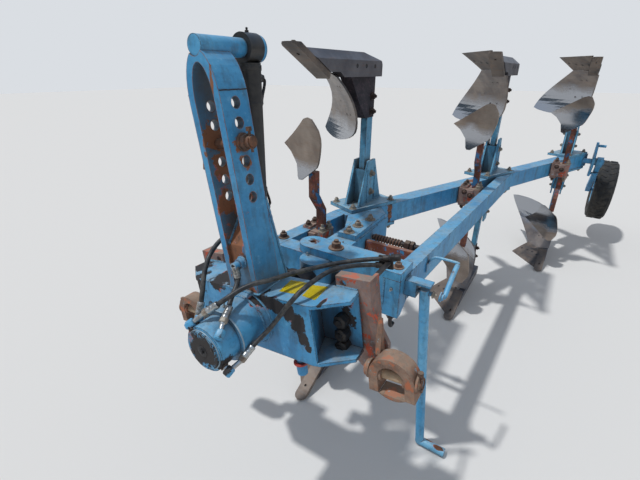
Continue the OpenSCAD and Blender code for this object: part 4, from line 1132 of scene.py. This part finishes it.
class PLOUGH_OT_welds(bpy.types.Operator):
    """Weld beads where the plates, tubes and brackets were joined"""

    bl_idname = "plough.welds"
    bl_label = "Welds"

    def execute(self, context):
        tree = bead_tree()
        radius = context.scene.plough_sizes.bead
        rounds = ((80, 0, 0, 90.5, 72), (56, 0, 0, 99, 72), (58, 17, 210, 17.5, 40), (-93, 0, 0, 90.5, 72))
        head = [ring_path(on_headstock(x, u, w), FRONT, size, count) for x, u, w, size, count in rounds]
        x, span, _ = HITCH
        for side in (-1, 1):
            # round the tower's foot, up its braces, between its flats, along the beam's end and the hitch
            for path in (((59, 40, 101), (59, 66, 101), (-51, 66, 101), (-51, 40, 101), (59, 40, 101)),
                ((-51, 50.5, 400), (-92, 50.5, 101)), ((-51, 64.5, 400), (-92, 64.5, 101)),
                ((48, 40, 262), (-42, 40, 369)), ((-92.5, 272, 100.5), (-92.5, 352, 100.5)),
                ((x - 28, span - 46, -100), (x - 28, span - 72, -100))):
                head.append([on_headstock(x, side * u, w) for x, u, w in path])
        seams = [[on_headstock(x, side * 65.8, 724) for x in (-49, -20, 20, 57)] for side in (-1, 1)]
        beads("tower_seams", tree, "grimy", seams, 1.6, "headstock")
        beads("headstock_welds", tree, "weld", head, radius, "headstock")
        lines = []
        for x, y in (LEG + PITCH * i for i in BODIES):
            corners = ((135, -46.5), (135, 46.5), (-135, 46.5), (-135, -46.5), (135, -46.5))
            paths = [[at(x + dx, y + dy, BASE_TOP + 1) for dx, dy in corners]]
            for end in (-1, 1):
                for side in (-1, 1):
                    paths.append([at(x + end * 44, y + side * 46, BASE_TOP + z) for z in (4, 60, 120, 194)])
            for path in paths:
                lines += [path, [mirror_z(p) for p in path]]
        for path in (((-470.5, 120, 939), (-470.5, 300, 939)), ((-352, 312, 939), (-352, 312, 900), (-352, 312, 826)),
            ((-446, 378.5, 938.5), (-446, 378.5, 824)), ((-580, 62.5, 939), (-925, 50.5, 939)),
            ((-580, -34.5, 939), (-925, -40.5, 939))):
            lines.append([at(*p) for p in path])
        beads("frame_welds", tree, "weld", lines, radius)
        return {"FINISHED"}


class PloughStage(bpy.types.PropertyGroup):
    lens: FloatProperty(name="Lens", description="Focal length for a 36 mm wide picture", default=20.53, unit="CAMERA")
    tilt: FloatProperty(name="Tilt", description="How far the camera looks down, in degrees", default=24.7)
    turn: FloatProperty(name="Turn", description="How far the view turns to the plough's right, in degrees",
        default=33.9)
    sky: FloatProperty(name="Sky", description="Strength of the light from all round", default=0.46, min=0)
    sun: FloatProperty(name="Sun", description="Strength of the key light", default=2.15, min=0)
    floor: StringProperty(name="Floor", description="Colour of the floor, as an sRGB hex value", default="#DBDAD7")


class PloughSizes(bpy.types.PropertyGroup):
    bolt_width: FloatProperty(name="Bolt width", description="Width across flats of the frame's bolts, in mm",
        default=24.0, min=10)
    bead: FloatProperty(name="Weld bead", description="Radius of a weld bead, in mm", default=4.5, min=1)


CLASSES = [PloughStage, PloughSizes, PLOUGH_OT_stage, PLOUGH_OT_finishes, PLOUGH_OT_hoses, PLOUGH_OT_headstock,
    PLOUGH_OT_cylinder, PLOUGH_OT_frame, PLOUGH_OT_fasteners, PLOUGH_OT_wheel, PLOUGH_OT_welds]
STEPS = [c for c in CLASSES if issubclass(c, bpy.types.Operator)]


class PLOUGH_PT_panel(bpy.types.Panel):
    """The plough's steps and sizes"""

    bl_label = "Plough"
    bl_space_type = "VIEW_3D"
    bl_region_type = "UI"
    bl_category = "Plough"

    def draw(self, context):
        for step in STEPS:
            self.layout.operator(step.bl_idname)
        for group in (context.scene.plough_stage, context.scene.plough_sizes):
            for name in type(group).__annotations__:
                self.layout.prop(group, name)


def register():
    for c in CLASSES + [PLOUGH_PT_panel]:
        bpy.utils.register_class(c)
    bpy.types.Scene.plough_stage = PointerProperty(type=PloughStage)
    bpy.types.Scene.plough_sizes = PointerProperty(type=PloughSizes)


def unregister():
    del bpy.types.Scene.plough_stage
    del bpy.types.Scene.plough_sizes
    for c in reversed(CLASSES + [PLOUGH_PT_panel]):
        bpy.utils.unregister_class(c)


def main():
    register()
    for step in STEPS:
        group, name = step.bl_idname.split(".")
        getattr(getattr(bpy.ops, group), name)()
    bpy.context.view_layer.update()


if __name__ == "__main__":
    main()
